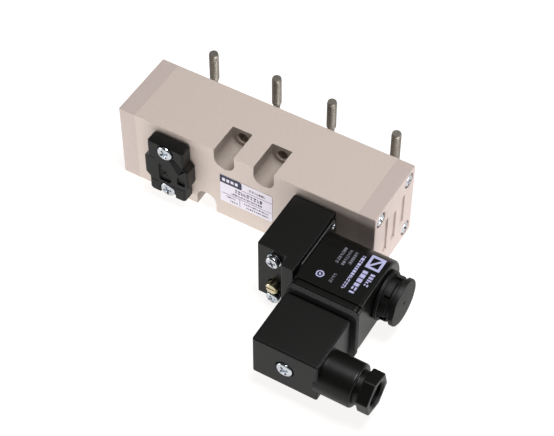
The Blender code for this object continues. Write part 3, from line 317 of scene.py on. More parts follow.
def helix(low, high, radius, wire, turns, closed=0.9, steps=26, sides=10):
    """A compression spring along local Z, its end turns wound closed."""
    bm = bmesh.new()
    count = int(turns * steps)
    close_pitch = 2.1 * wire
    open_turns = turns - 2 * closed
    open_pitch = (high - low - 2 * wire - 2 * closed * close_pitch) / open_turns
    up = Vector((0, 0, 1))
    loops = []
    for i in range(count + 1):
        turn = turns * i / count
        height = low + wire + close_pitch * min(turn, closed)
        height += open_pitch * min(max(turn - closed, 0.0), open_turns)
        height += close_pitch * max(turn - closed - open_turns, 0.0)
        outward = Vector((math.cos(2 * math.pi * turn), math.sin(2 * math.pi * turn), 0.0))
        centre = outward * radius + up * height
        loop = []
        for j in range(sides):
            tilt = 2 * math.pi * j / sides
            loop.append(bm.verts.new(centre + (outward * math.cos(tilt) + up * math.sin(tilt)) * wire))
        loops.append(loop)
    skin(bm, loops)
    bmesh.ops.recalc_face_normals(bm, faces=bm.faces)
    return bm


def cross_recess(head_radius, top, depth):
    """The cutter of a cross recess whose wings narrow and get shorter towards its bottom."""
    sections = []
    # Each section is a wing's reach and half width, as shares of the head's radius, and its height.
    for reach, half, height in (
        (0.30, 0.093, top - depth), (0.5, 0.13175, top - 0.5 * depth), (0.62, 0.155, top),
        (0.682, 0.17825, top + 1.0),
    ):
        reach, half = reach * head_radius, half * head_radius
        wing = [(reach, -half), (reach, half), (half, half)]
        outline = []
        for _ in range(4):
            outline += wing
            wing = [(-y, x) for x, y in wing]
        sections.append((outline, height))
    return loft(sections)


# ---- pieces


def added(name, data):
    obj = bpy.data.objects.new(name, data)
    bpy.context.scene.collection.objects.link(obj)
    return obj


def temporary(bm, name):
    mesh = bpy.data.meshes.new(name)
    bm.to_mesh(mesh)
    bm.free()
    return added(name, mesh)


def bevel(obj, width, segments):
    modifier = obj.modifiers.new("edge", "BEVEL")
    modifier.width = width
    modifier.segments = segments
    modifier.limit_method = "ANGLE"
    modifier.angle_limit = math.radians(40)
    modifier.use_clamp_overlap = True


def finished(base, edge=None, joins=(), cuts=(), sharp=32):
    """The mesh of a shape with its edges rounded, other shapes joined and cut away, and its normals set."""
    obj = temporary(base, "work")
    helpers = []
    if edge:
        bevel(obj, *edge)
    for operation, shapes in (("UNION", joins), ("DIFFERENCE", cuts)):
        for shape in shapes:
            helper = temporary(shape, "helper")
            helpers.append(helper)
            boolean = obj.modifiers.new("boolean", "BOOLEAN")
            boolean.operation = operation
            boolean.object = helper
    bpy.context.view_layer.update()
    graph = bpy.context.evaluated_depsgraph_get()
    mesh = bpy.data.meshes.new_from_object(obj.evaluated_get(graph))
    for helper in [*helpers, obj]:
        data = helper.data
        bpy.data.objects.remove(helper, do_unlink=True)
        bpy.data.meshes.remove(data)
    bm = bmesh.new()
    bm.from_mesh(mesh)
    bmesh.ops.remove_doubles(bm, verts=bm.verts, dist=2e-4)
    bmesh.ops.dissolve_degenerate(bm, edges=bm.edges, dist=2e-4)
    bm.to_mesh(mesh)
    bm.free()
    mesh.shade_smooth()
    mesh.set_sharp_from_angle(angle=math.radians(sharp))
    return mesh


def place(name, mesh, material, body, nodes=(), at=None, weigh=True):
    """Adds a finished mesh, drawn in millimetres, as a piece that rides on a body and stands for CAD nodes.
    at is a matrix that takes it from its own frame to the valve's."""
    if at:
        mesh.transform(at)
    mesh.transform(Matrix.Diagonal((0.001, 0.001, 0.001, 1.0)))
    mesh.materials.clear()
    mesh.materials.append(material)
    obj = added(name, mesh)
    if weigh:
        normals = obj.modifiers.new("normals", "WEIGHTED_NORMAL")
        normals.keep_sharp = True
        normals.weight = 80
    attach(obj, body)
    if nodes:
        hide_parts(*nodes)
    return obj


def piece(node, shape, material, body="valve", at=None, **options):
    """The fine version of one CAD node."""
    return place(f"{node}_fine", finished(shape, **options), material, body, (node,), at)


def screw_mesh(head_radius, head_height, shank_radius, length, washer=None, dome_share=0.42):
    """A cross-recessed pan-head screw along local Z: seat at 0, head above, thread low on its shank.
    washer is the radius and thickness of a ring under the head."""
    lift = 0.0
    neck = []
    if washer:
        radius, thickness = washer
        lift = thickness + 0.2
        neck = [
            (0.0, radius), (thickness, radius), (thickness, shank_radius + 0.5), (lift, shank_radius + 0.5),
        ]
    top = head_height
    rise = dome_share * (top - lift)
    dome = []
    for i in range(9):
        angle = math.radians(90 * i / 8)
        dome.append((top - rise + rise * math.sin(angle), head_radius * (0.62 + 0.38 * math.cos(angle))))
    start = -length + 0.5
    thread_end = min(-1.2, start + 14.0)
    root = shank_radius - 0.54 * SCREW_PITCH
    before = [(-length, 0.0), (-length, root - 0.35)]
    after = [(thread_end + 0.3, shank_radius - 0.05), (0.0, shank_radius - 0.05), *neck]
    after += [(lift, head_radius - 0.15), (lift + 0.15, head_radius), *dome, (top, 0.0)]
    screw = threaded(before, start, thread_end, root, shank_radius, SCREW_PITCH, after, 32, 4)
    return finished(screw, cuts=[cross_recess(head_radius, top, 0.62 * (top - lift))])


def screw_at(node, mesh, location, spin, facing="front", body="valve"):
    at = Matrix.Translation(location) @ FACING[facing] @ Matrix.Rotation(math.radians(spin), 4, "Z")
    place(f"{node}_fine", mesh.copy(), ZINC, body, (node,), at)


# ---- materials


def fill(node, inputs):
    """Sets a node's inputs, or links those whose value is another node's output."""
    for name, value in inputs.items():
        if isinstance(value, bpy.types.NodeSocket):
            node.id_data.links.new(value, node.inputs[name])
        else:
            node.inputs[name].default_value = value


def add_node(tree, kind, output, inputs=None, **settings):
    """One output of a new shader node."""
    node = tree.nodes.new(f"ShaderNode{kind}")
    for name, value in settings.items():
        setattr(node, name, value)
    fill(node, inputs or {})
    return node.outputs[output]


class Nodes:
    """Builds one material around a Principled shader, with coordinates in the object's own metres."""

    def __init__(self, name, **inputs):
        self.material = bpy.data.materials.new(name)
        self.material.use_nodes = True
        self.tree = self.material.node_tree
        self.shader = self.tree.nodes["Principled BSDF"]
        fill(self.shader, inputs)
        self.coordinates = self.add("TexCoord", "Object")

    def add(self, kind, output, inputs=None, **settings):
        return add_node(self.tree, kind, output, inputs, **settings)

    def noise(self, per_mm, detail=3.0, stretch=None):
        vector = self.coordinates
        if stretch:
            vector = self.add("Mapping", "Vector", {"Vector": vector, "Scale": stretch})
        return self.add("TexNoise", "Fac", {"Vector": vector, "Scale": per_mm * 1000, "Detail": detail})

    def spots(self, per_mm):
        return self.add("TexVoronoi", "Distance", {"Vector": self.coordinates, "Scale": per_mm * 1000})

    def waves(self, per_mm, axis, distortion):
        inputs = {"Vector": self.coordinates, "Scale": per_mm * 1000 / 20, "Distortion": distortion}
        return self.add("TexWave", "Fac", inputs, bands_direction=axis)

    def color(self, pattern, color, dark, light):
        """Mixes two shades of the colour by a pattern."""
        ramp = self.tree.nodes.new("ShaderNodeValToRGB")
        for element, position, factor in zip(ramp.color_ramp.elements, (0.3, 0.7), (dark, light)):
            element.position = position
            element.color = (*(channel * factor for channel in color), 1.0)
        fill(ramp, {"Fac": pattern})
        fill(self.shader, {"Base Color": ramp.outputs["Color"]})

    def roughness(self, pattern, low, high):
        inputs = {"Value": pattern, "From Min": 0.3, "From Max": 0.7, "To Min": low, "To Max": high}
        fill(self.shader, {"Roughness": self.add("MapRange", "Result", inputs)})

    def bump(self, pattern, strength, distance_mm):
        inputs = {"Height": pattern, "Strength": strength, "Distance": distance_mm / 1000}
        fill(self.shader, {"Normal": self.add("Bump", "Normal", inputs)})


def painted(name, color):
    """Powder paint on cast aluminium: a slight orange peel and fine speckle."""
    nodes = Nodes(name)
    nodes.color(nodes.noise(0.9, 6.0), color, 0.965, 1.03)
    nodes.roughness(nodes.noise(0.35), 0.46, 0.62)
    nodes.bump(nodes.noise(2.6, 4.0), 0.22, 0.05)
    return nodes.material


def moulded(name, color, rough=(0.34, 0.38), grain=4.0, strength=0.12):
    """Moulded plastic with a fine spark-eroded grain."""
    nodes = Nodes(name, IOR=1.4)
    nodes.color(nodes.noise(0.6, 4.0), color, 0.92, 1.08)
    nodes.roughness(nodes.noise(1.6, 5.0), *rough)
    nodes.bump(nodes.noise(grain, 2.0), strength, 0.03)
    return nodes.material


def metal(name, color, rough, stretch=None):
    """Metal with a faint uneven polish; stretch draws the marks out along an axis."""
    nodes = Nodes(name, Metallic=1.0)
    nodes.color(nodes.noise(0.5, 3.0), color, 0.9, 1.05)
    marks = nodes.noise(3.0, 4.0, stretch)
    nodes.roughness(marks, *rough)
    nodes.bump(marks, 0.12, 0.02)
    return nodes.material


def rubber(name, color):
    """Rubber with a slight pebbled skin."""
    nodes = Nodes(name)
    nodes.color(nodes.noise(0.8, 5.0), color, 0.8, 1.25)
    nodes.roughness(nodes.noise(1.5), 0.68, 0.88)
    nodes.bump(nodes.spots(2.2), 0.2, 0.04)
    return nodes.material


def wound(name, color):
    """Enamelled wire wound in even turns along X."""
    nodes = Nodes(name, Metallic=1.0)
    nodes.color(nodes.noise(0.4, 3.0), color, 0.8, 1.1)
    nodes.roughness(nodes.noise(1.0), 0.25, 0.4)
    nodes.bump(nodes.waves(3.0, "X", 0.4), 0.9, 0.15)
    return nodes.material


def printed(name, color):
    """Ink or label film, its colour broken by fine mottling."""
    nodes = Nodes(name)
    nodes.color(nodes.noise(3.0, 5.0), color, 0.93, 1.05)
    nodes.roughness(nodes.noise(1.2), 0.36, 0.5)
    nodes.bump(nodes.noise(5.0, 2.0), 0.08, 0.01)
    return nodes.material


PAINT = painted("beige_paint", (0.56, 0.475, 0.425))
# Darker beige for the walls and floors inside the screw notches: painted shade, standing for the shade that
# falls in those recesses
NOTCH_SHADE_PAINT = painted("beige_paint_painted_shade", (0.32, 0.27, 0.235))
CAP_PAINT = painted("beige_paint_caps", (0.50, 0.415, 0.385))
BLACK = moulded("black_plastic", (0.0030, 0.0030, 0.0026))
COIL_BLACK = moulded("black_coil_resin", (0.0030, 0.0031, 0.0026), (0.27, 0.31), 3.0, 0.10)
NUT_BLACK = moulded("black_nut_plastic", (0.0034, 0.0034, 0.0030), (0.45, 0.55), 2.5, 0.1)
GREY = moulded("grey_plastic", (0.22, 0.22, 0.23), (0.4, 0.55))
NATURAL = moulded("natural_nylon", (0.62, 0.58, 0.48), (0.38, 0.5))
RUBBER = rubber("black_rubber", (0.012, 0.012, 0.012))
ZINC = metal("zinc_plate", (0.84, 0.88, 0.93), (0.12, 0.24))
PLATE_STEEL = metal("blackened_sheet", (0.10, 0.10, 0.10), (0.36, 0.5), (1, 1, 6))
STAINLESS = metal("stainless_steel", (0.56, 0.52, 0.48), (0.2, 0.34), (1, 1, 5))
SCREW_STEEL = metal("plain_steel", (0.37, 0.34, 0.30), (0.42, 0.54), (1, 1, 5))
SPRING_STEEL = metal("spring_steel", (0.46, 0.46, 0.47), (0.22, 0.36))
IRON = metal("soft_iron", (0.36, 0.35, 0.34), (0.34, 0.5), (6, 1, 1))
BRASS = metal("brass", (0.88, 0.79, 0.54), (0.2, 0.34))
TIN = metal("tinned_brass", (0.74, 0.72, 0.66), (0.24, 0.38))
ALUMINIUM = metal("anodised_aluminium", (0.72, 0.74, 0.77), (0.2, 0.34), (6, 1, 1))
COPPER = wound("enamelled_copper", (0.62, 0.24, 0.10))
PAPER = printed("label_film", (0.70, 0.66, 0.74))
NAVY = printed("navy_ink", (0.016, 0.020, 0.075))
INK = printed("dark_ink", (0.055, 0.045, 0.075))
RULE = printed("violet_rule", (0.16, 0.13, 0.24))
LIGHT_PRINT = printed("lavender_ink", (0.46, 0.46, 0.70))
FAINT_PRINT = printed("grey_ink", (0.16, 0.16, 0.20))


# ---- valve body and caps


def spool_bore():
    profile = [(-END_X - 1, 0.0), (-END_X - 1, BORE_RADIUS)]
    for x, _ in PORTS:
        low, high = x - CHAMBER_WIDTH / 2, x + CHAMBER_WIDTH / 2
        profile += [(low - 0.2, BORE_RADIUS), (low, BORE_RADIUS + 0.2), (low, CHAMBER_RADIUS - 0.3)]
        profile += [(low + 0.3, CHAMBER_RADIUS), (high - 0.3, CHAMBER_RADIUS), (high, CHAMBER_RADIUS - 0.3)]
        profile += [(high, BORE_RADIUS + 0.2), (high + 0.2, BORE_RADIUS)]
    radius, depth = PISTON_BORE
    profile += [(END_X - depth, BORE_RADIUS), (END_X - depth, radius), (END_X - 0.4, radius)]
    profile += [(END_X + 1, radius + 1.4), (END_X + 1, 0.0)]
    return along_x(turned(profile, 96), (0.0, SPOOL_Z))


def notch(x, z, opens):
    """A screw notch with a rounded rim, open to the front and to the top, or with opens -1 to the bottom."""
    def outline(growth):
        radius = NOTCH_RADIUS + growth
        reach = NOTCH_RADIUS + 1.0 + growth
        points = arc((x, z), radius, 180, 360, 24) + [(x + radius, z + reach), (x - radius, z + reach)]
        if opens < 0:
            points = [(px, 2 * z - pz) for px, pz in reversed(points)]
        return points
    front = -FRONT_Y
    floor = front - NOTCH_DEPTH
    return facing_front(grown(
        outline, (-0.35, floor), (-0.1, floor + 0.1), (0.0, floor + 0.35), (0.0, front - 0.3),
        (0.09, front - 0.09), (0.3, front), (1.3, front + 1.0),
    ))


def end_outline(inset):
    """The outline shared by the body and its caps, with rounded corners, about the spool's axis."""
    return rounded_rectangle(BODY_HEIGHT - 2 * inset, BACK_Y - FRONT_Y - 2 * inset, EDGE, 4)


def build_body():
    back = -BACK_Y
    seat = rounded_rectangle(57.0, 24.0, 3.0, 8, SPOOL_AXIS)
    cuts = [spool_bore(), facing_front(prism(seat, back - 1, back + 1.2))]
    for port in PORTS:
        cuts.append(facing_front(prism(obround(7.0, 8.6, port), back - 1, -5)))
    for x, z, opens in NOTCHES:
        cuts.append(notch(x, z, opens))
        cuts.append(hole_y(x, z, FRONT_Y + NOTCH_DEPTH - 1.0, BACK_Y + 1, 2.6, 32, 0.35))
    for end in (-1, 1):
        for _, y, rise in CAP_SCREWS:
            cuts.append(hole_x(y, SPOOL_Z + rise, end * (END_X + 1), end * (END_X - 9), 1.9))
    for rise in COVER_SCREW_RISES:
        cuts.append(hole_y(COVER[0], COVER[1] + rise, FRONT_Y - 1, FRONT_Y + 6, 1.7))
    for _, x, z in BLOCK_SCREWS:
        cuts.append(hole_y(x, z, FRONT_Y - 1, FRONT_Y + 7.5, 1.7))
    past = 1.3
    x, y = SUPPLY
    cuts.append(hole_y(x, TUBE_Z, FRONT_Y - past, y + 0.3, 0.8, 16))
    cuts.append(hole_x(y, TUBE_Z, x + past, -past, 1.0, 16))
    cuts.append(hole_y(0.1, TUBE_Z, y - 0.3, -8.4, 0.8, 16))
    x, y = OUTLET
    cuts.append(hole_y(x, OUTLET_Z, FRONT_Y - past, y + 0.3, 0.8, 16))
    cuts.append(hole_x(y, OUTLET_Z, x - past, END_X + past, 1.0, 16))
    shell = along_x(prism(end_outline(0.0), -END_X, END_X), SPOOL_AXIS)
    body = piece("valve_body", shell, PAINT, cuts=cuts)
    # Faces inside the screw notches take the darker paint: painted shade in the recesses
    body.data.materials.append(NOTCH_SHADE_PAINT)
    near = 0.05
    for face in body.data.polygons:
        at = face.center * 1000
        deep = FRONT_Y + 0.2 < at.y < FRONT_Y + NOTCH_DEPTH + 2 * near
        on_edge = abs(at.z - SPOOL_Z) > SPOOL_Z - 0.01
        for x, z, opens in NOTCHES:
            within = abs(at.x - x) < NOTCH_RADIUS + near and (at.z - z) * opens > -NOTCH_RADIUS - near
            if within and deep and not on_edge:
                face.material_index = 1


def build_cap(side, end):
    """An end cap and its gasket, drawn with their outer faces towards +X; the left ones are turned round."""
    at = Matrix.Translation((end * CAP_X, 0, SPOOL_Z)) @ Matrix.Rotation(math.pi if end < 0 else 0.0, 4, "Z")
    top = CAP_THICKNESS
    cap = along_x(loft([(end_outline(0.0), -0.28), *rounded_end(end_outline, EDGE, top, 4)]))
    radius, depth = SPRING_POCKET if end < 0 else PISTON_BORE
    cuts = [
        box((-1, -16.0, -18.5), (1.0, 16.0, 18.5)),
        along_x(turned([(-1, 0), (-1, radius), (depth - 0.3, radius), (depth, radius - 0.3), (depth, 0)])),
    ]
    gallery_y, gallery_z = OUTLET[1], OUTLET_Z - SPOOL_Z
    if end > 0:
        cuts.append(hole_x(gallery_y, gallery_z, 0.5, 3.5, 1.0, 16))
        cuts.append(hole_y(2.8, gallery_z, -14.0, -7.5, 0.9, 16))
    for y, z, half in CAP_SLOTS:
        def slot(growth, half=half):
            return rounded_rectangle(2 * half + growth, 3.2 + growth, 0.4 + growth / 2, 3)
        shape = grown(
            slot, (-0.4, top - 0.9), (-0.1, top - 0.8), (0.0, top - 0.6), (0.0, top - 0.15), (0.3, top),
            (1.3, top + 0.5),
        )
        cuts.append(along_x(shape, (y, z)))
    for _, y, z in CAP_SCREWS:
        bore = [
            (-1, 0), (-1, 2.0), (top - 2.0, 2.0), (top - 2.0, 3.6), (top - 0.25, 3.6), (top, 3.85),
            (top + 0.5, 4.35), (top + 0.5, 0),
        ]
        cuts.append(along_x(turned(bore, 48), (y, z)))
    piece(f"{side}_end_cap", cap, CAP_PAINT, at=at, cuts=cuts)

    cuts = [along_x(disc(-1, 2, BORE_RADIUS if end < 0 else PISTON_BORE[0], 96))]
    cuts += [hole_x(y, z, -1, 2, 2.3) for _, y, z in CAP_SCREWS]
    if end > 0:
        cuts.append(hole_x(gallery_y, gallery_z, -1, 2, 1.2, 20))
    sheet = box((0.0, -15.9, -18.4), (0.9, 15.9, 18.4))
    piece(f"{side}_cap_gasket", sheet, RUBBER, at=at, edge=(0.2, 2), cuts=cuts)


def build_cap_screws():
    mesh = screw_mesh(3.0, 1.9, 1.6, 13.0, dome_share=0.7)
    seat = CAP_X + CAP_THICKNESS - 1.9
    for side, end in (("left", -1), ("right", 1)):
        for (where, y, rise), spin in zip(CAP_SCREWS, (20, 55, 70, 35)):
            screw_at(f"{side}_cap_screw_{where}", mesh, (end * seat, y, SPOOL_Z + rise), spin, side)


def build_mounting_gasket():
    back = -BACK_Y
    sheet = prism(rounded_rectangle(56.6, 23.6, 2.8, 8, SPOOL_AXIS), back + 0.1, back + 1.1)
    cuts = [facing_front(prism(obround(7.6, 9.2, port), back - 1, back + 2)) for port in PORTS]
    piece("mounting_gasket", facing_front(sheet), RUBBER, edge=(0.25, 2), cuts=cuts)


# ---- spool


def build_spool():
    body = "spool_assembly"
    profile = [(LANDS[0][0], 0.0)]
    for low, high in LANDS:
        if profile[-1][1] > 0:
            profile += [(low - 0.4, NECK_RADIUS), (low, NECK_RADIUS + 0.4)]
        profile += [(low, LAND_RADIUS - 0.3), (low + 0.3, LAND_RADIUS)]
        for centre in SEAL_PLACES:
            if low < centre < high:
                left, right = centre - 1.0, centre + 1.0
                profile += [(left, LAND_RADIUS), (left, 6.3), (right, 6.3), (right, LAND_RADIUS)]
        profile += [(high - 0.3, LAND_RADIUS), (high, LAND_RADIUS - 0.3)]
        profile += [(high, NECK_RADIUS + 0.4), (high + 0.4, NECK_RADIUS)]
    profile += [(SPOOL_RIGHT - 0.3, NECK_RADIUS), (SPOOL_RIGHT, NECK_RADIUS - 0.3), (SPOOL_RIGHT, 0.0)]
    piece("spool", along_x(turned(profile, 96), SPOOL_AXIS), ALUMINIUM, body)
    ring = [
        (-0.9, 6.5), (-0.9, 7.5), (-0.55, 7.82), (0.0, 7.93), (0.55, 7.82), (0.9, 7.5), (0.9, 6.5),
        (0.5, 6.45), (-0.5, 6.45),
    ]
    for number, centre in enumerate(SEAL_PLACES, 1):
        piece(f"spool_seal_{number}", along_x(turned(ring, 96), SPOOL_AXIS, centre), RUBBER, body, sharp=50)
    piston = [
        (55.5, 0.0), (55.5, 10.8), (56.6, 10.8), (56.6, 9.0), (58.4, 9.0), (58.4, 10.8), (59.4, 10.8),
        (59.4, 6.0), (58.8, 5.6), (58.8, 0.0),
    ]
    piece("pilot_piston", along_x(turned(eased(piston), 96), SPOOL_AXIS), GREY, body)
    lip = [
        (56.7, 9.15), (56.7, 10.6), (57.1, 11.1), (57.5, 10.8), (57.9, 11.1), (58.3, 10.6), (58.3, 9.15),
    ]
    piece("pilot_piston_seal", along_x(turned(lip, 96), SPOOL_AXIS), RUBBER, body, sharp=50)
    spring = along_x(helix(-58.6, -47.1, 5.0, 0.55, 6.2, 0.8), SPOOL_AXIS)
    spring = piece("return_spring", spring, SPRING_STEEL, sharp=60)
    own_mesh(spring)


# ---- blanking cover


def cover_outline(margin=0.0, lugs=True):
    w, h = COVER_HALF[0] - margin, COVER_HALF[1] - margin
    corner, lug, lug_low, lug_high, slope = 0.9, 2.1, -5.4, 4.2, 2.0
    right = [(w - corner, -h), (w, -h + corner)]
    if lugs:
        right += [(w, lug_low - slope), (w + lug, lug_low), (w + lug, lug_high), (w, lug_high + slope)]
    right += [(w, h - corner), (w - corner, h)]
    return right + [(-x, z) for x, z in reversed(right)]


def wedge(corners, surface, high):
    """A cutter whose floor lies at each corner's own depth, (x, y, depth), below a surface."""
    bm = bmesh.new()
    floor = [bm.verts.new((x, y, surface - depth)) for x, y, depth in corners]
    lid = [bm.verts.new((x, y, high)) for x, y, _ in corners]
    skin(bm, (floor, lid))
    bmesh.ops.triangulate(bm, faces=bm.faces)
    bmesh.ops.recalc_face_normals(bm, faces=bm.faces)
    return bm


def build_cover():
    """Drawn with the back at local Z 0 and the front facing local +Z."""
    at = Matrix.Translation((COVER[0], FRONT_BACK, COVER[1])) @ FACING["front"]
    upper, lower = COVER_SCREW_RISES
    seats = (4.6, 4.0)
    head = 3.95
    top = COVER_THICKNESS

    def inset_outline(growth):
        return cover_outline(-growth)

    def pocket(growth):
        radius = head + growth
        return arc((0, lower), radius, 0, 180, 24) + [(-radius, -18.0), (radius, -18.0)]

    def dent(width, height, corner, steps, centre):
        """A shallow rounded pocket with a softened rim."""
        def outline(growth):
            size = (width + 2 * growth, height + 2 * growth, corner + 0.8 * growth)
            return rounded_rectangle(*size, steps, centre)
        return grown(
            outline, (-0.25, top - 0.9), (0.0, top - 0.7), (0.0, top - 0.2), (0.2, top), (1.2, top + 1),
        )

    bore = [
        (-1, 0.0), (-1, 1.8), (seats[0], 1.8), (seats[0], head), (top - 0.25, head), (top, head + 0.25),
        (top + 1, head + 1.25), (top + 1, 0.0),
    ]
    cuts = [
        prism(cover_outline(2.0, False), -1, 1.1),
        moved(turned(bore, 48), (0, upper, 0)),
        moved(disc(-1, top + 1, 1.8, 32), (0, lower, 0)),
        grown(pocket, (0.0, seats[1]), (0.0, top - 0.25), (0.25, top), (1.25, top + 1)),
        dent(6.0, 10.0, 1.0, 5, (-0.8, -1.9)),
        dent(3.8, 4.4, 0.6, 4, (7.3, -3.1)),
    ]
    for turn in (-38, 52):
        stroke = box((-1.8, -0.27, top - 1.6), (1.8, 0.27, top + 1))
        cuts.append(moved(turned_by(stroke, turn), (-1.6, -2.6, 0)))
    cuts.append(wedge([(1.8, 7.9, 0.1), (6.2, 0.7, 0.1), (9.6, 4.4, 2.2), (4.3, 9.8, 2.2)], top, top + 1))
    for low, high in (((-8.2, -9.0), (-4.6, -8.6)), ((-8.2, 5.4), (-5.4, 5.8)), ((2.8, -8.4), (8.0, -8.0))):
        cuts.append(box((*low, top - 0.2), (*high, top + 1)))
    body = grown(
        inset_outline, (-0.25, 0.0), (0.0, 0.25), (0.0, top - 0.9), (-0.18, top - 0.45), (-0.75, top),
    )
    piece("blanking_cover", body, BLACK, at=at, cuts=cuts, sharp=28)

    cuts = [moved(disc(-1, 2, 2.0, 32), (0, rise, 0)) for rise in COVER_SCREW_RISES]
    cuts.append(prism(rounded_rectangle(8.0, 12.0, 2.0, 5), -1, 2))
    sheet = prism(cover_outline(2.3, False), 0.0, 0.9)
    piece("blanking_cover_gasket", sheet, RUBBER, at=at, edge=(0.2, 2), cuts=cuts)
    mesh = screw_mesh(3.6, 2.2, 1.4, 8.9)
    for where, rise, seat, spin in zip(("upper", "lower"), COVER_SCREW_RISES, seats, (28, 12)):
        screw_at(f"cover_screw_{where}", mesh, (COVER[0], FRONT_BACK - seat - 0.1, COVER[1] + rise), spin)


# ---- pilot block and tube


def build_block():
    left, column, right = BLOCK_X
    front, column_front = BLOCK_Y
    outline = [
        (left, FRONT_BACK), (left, front), (column, front), (column, column_front), (right, column_front),
        (right, FRONT_BACK),
    ]
    middle = ((left + right) / 2, (BLOCK_Z[0] + BLOCK_Z[1]) / 2)
    back = -FRONT_BACK
    past = FRONT_BACK + 1
    cavity = [(35.6, 0.0), (35.6, 8.4), (44.2, 8.4), (44.6, 8.8), (45.6, 9.8), (45.6, 0.0)]
    cuts = [
        along_x(turned(cavity), TUBE),
        facing_front(prism(rounded_rectangle(16.0, 27.0, 1.5, 5, middle), back - 1, back + 1.1)),
        hole_x(TUBE_Y, TUBE_Z, 36.1, 33.5, 0.9, 20),
        hole_y(SUPPLY[0], TUBE_Z, TUBE_Y - 0.5, past, 0.8, 20),
        hole_y(OUTLET[0], OUTLET_Z, TUBE_Y + 4, past, 1.0, 20),
        hole_y(*OVERRIDE, front - 1, front + 5.3, 3.0, 40, 0.3),
        hole_y(*OVERRIDE, front + 4, front + 12, 1.7, 32),
    ]
    for _, x, z in BLOCK_SCREWS:
        cuts.append(hole_y(x, z, front - 1, past, 1.7, 28, 0.2))
    for _, y, z in PLATE_SCREWS:
        cuts.append(hole_x(y, z, right + 1, right - 5.6, 1.3, 20))
    piece("pilot_block", prism(outline, *BLOCK_Z), BLACK, edge=(0.5, 3), cuts=cuts)

    holes = [(SUPPLY[0], TUBE_Z, 1.2), (OUTLET[0], OUTLET_Z, 1.3), *((x, z, 2.0) for _, x, z in BLOCK_SCREWS)]
    cuts = [hole_y(x, z, FRONT_BACK - 2, past, radius) for x, z, radius in holes]
    gasket = facing_front(prism(rounded_rectangle(15.6, 26.6, 1.3, 5, middle), back, back + 1.0))
    piece("pilot_block_gasket", gasket, RUBBER, edge=(0.2, 2), cuts=cuts)

    mesh = screw_mesh(2.95, 2.9, 1.4, 36.5, washer=(3.3, 0.7))
    for (where, x, z), spin in zip(BLOCK_SCREWS, (18, 24)):
        screw_at(f"pilot_block_screw_{where}", mesh, (x, front - 0.2, z), spin)


def build_override():
    pin = [
        (-11.6, 0.0), (-11.6, 1.4), (-5.0, 1.4), (-5.0, 2.7), (-3.6, 2.7), (-3.6, 2.2), (-2.4, 2.2),
        (-2.4, 2.7), (3.1, 2.7), (3.1, 0.0),
    ]
    slot = box((-3, -0.4, 2.2), (3, 0.4, 4))
    at = Matrix.Translation((OVERRIDE[0], BLOCK_Y[0], OVERRIDE[1])) @ FACING["front"]
    piece("manual_override", turned(eased(pin, 0.28), 48), BRASS, "override_pin", at, cuts=[slot])


def build_armature():
    reach, half, left, right = 19.7, 14.6, 44.9, 45.7
    corner = math.degrees(math.asin(half / reach))
    outline = arc((0, 0), reach, 180 - corner, 180 + corner, 16)
    outline += [(13.0, -half), (14.5, 1.5 - half), (14.5, half - 1.5), (13.0, half)]
    hole = [(-2, 0.0), (-2, 1.15), (-0.75, 1.15), (0.3, 2.3), (0.3, 0.0)]
    cuts = [along_x(disc(44, 47, 6.5), TUBE)]
    cuts += [along_x(turned(hole, 32), (y, z), right) for _, y, z in PLATE_SCREWS]
    piece("armature_plate", across_tube(prism(outline, left, right)), PLATE_STEEL, edge=(0.15, 2), cuts=cuts)
    head = [(-0.85, 1.0), (-0.05, 1.85), (-0.05, 0.0)]
    screw = threaded([(-6.5, 0.0), (-6.5, 0.6)], -6.2, -1.0, 0.78, 1.0, 0.4, head, 28, 4)
    mesh = finished(screw, cuts=[cross_recess(1.9, -0.05, 0.75)])
    for where, y, z in PLATE_SCREWS:
        screw_at(f"plate_screw_{where}", mesh, (right, y, z), 20, "right")
    tube = [(37.5, 5.0), (37.5, 8.1), (43.9, 8.1), (43.9, 6.2), (76.0, 6.2), (76.0, 5.0)]
    piece("armature_tube", along_x(turned(eased(tube)), TUBE), STAINLESS)
    angles = [2 * math.pi * i / 18 for i in range(18)]
    ring = [(36.5 + 0.7 * math.cos(a), 6.9 + 1.1 * math.sin(a)) for a in angles]
    piece("tube_o_ring", along_x(turned(ring), TUBE), RUBBER, sharp=60)
    core = [
        (56.8, 0.0), (56.8, 4.4), (57.1, 4.7), (76.1, 4.7), (76.1, 5.7), (76.3, 5.9), (77.4, 5.9),
        (77.6, 5.7), (77.6, 3.0),
    ]
    core = threaded(core, 77.8, 82.0, 3.15, 3.6, 0.75, [(82.8, 2.9), (82.8, 0.0)], 48, 6)
    piece("fixed_core", along_x(core, TUBE), IRON)
    plunger = [
        (37.0, 0.0), (37.0, 2.2), (36.1, 2.2), (36.1, 3.2), (40.0, 3.2), (41.0, 4.7), (55.7, 4.7),
        (55.7, 2.7), (47.6, 2.7), (47.6, 0.0),
    ]
    piece("plunger", along_x(turned(eased(plunger)), TUBE), IRON, "plunger_assembly")
    seal = eased([(35.7, 0.0), (35.7, 2.0), (36.8, 2.0), (36.8, 0.0)])
    piece("plunger_seat_seal", along_x(turned(seal, 48), TUBE), RUBBER, "plunger_assembly")
    spring = along_x(helix(47.8, 56.6, 2.05, 0.28, 7.5, 0.9, 22, 8), TUBE)
    spring = piece("plunger_spring", spring, SPRING_STEEL, sharp=60)
    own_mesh(spring)


# ---- coil, nut and plug


def coil_outline(inset):
    """The coil's outline in Y and Z about the tube's axis: round at the back, square at the front."""
    front, radius, bottom = COIL_FRONT - TUBE_Y, COIL_RADIUS - inset, COIL_BOTTOM + inset
    outline = arc((0, 0), radius, math.degrees(math.asin(bottom / radius)), 90, 40)
    outline += arc((front + 0.4, radius - 0.4), 0.4, 90, 180, 4)
    return outline + arc((front + 0.4, bottom + 0.4), 0.4, 180, 270, 4)


def blade_space(x, z, wide, tall, front, back, gap=0.0):
    """The space of one of the coil's blades, or of the hole round it when a gap is given."""
    half_x, half_z = wide / 2 + gap, tall / 2 + gap
    return box((x - half_x, front, z - half_z), (x + half_x, back, z + half_z))


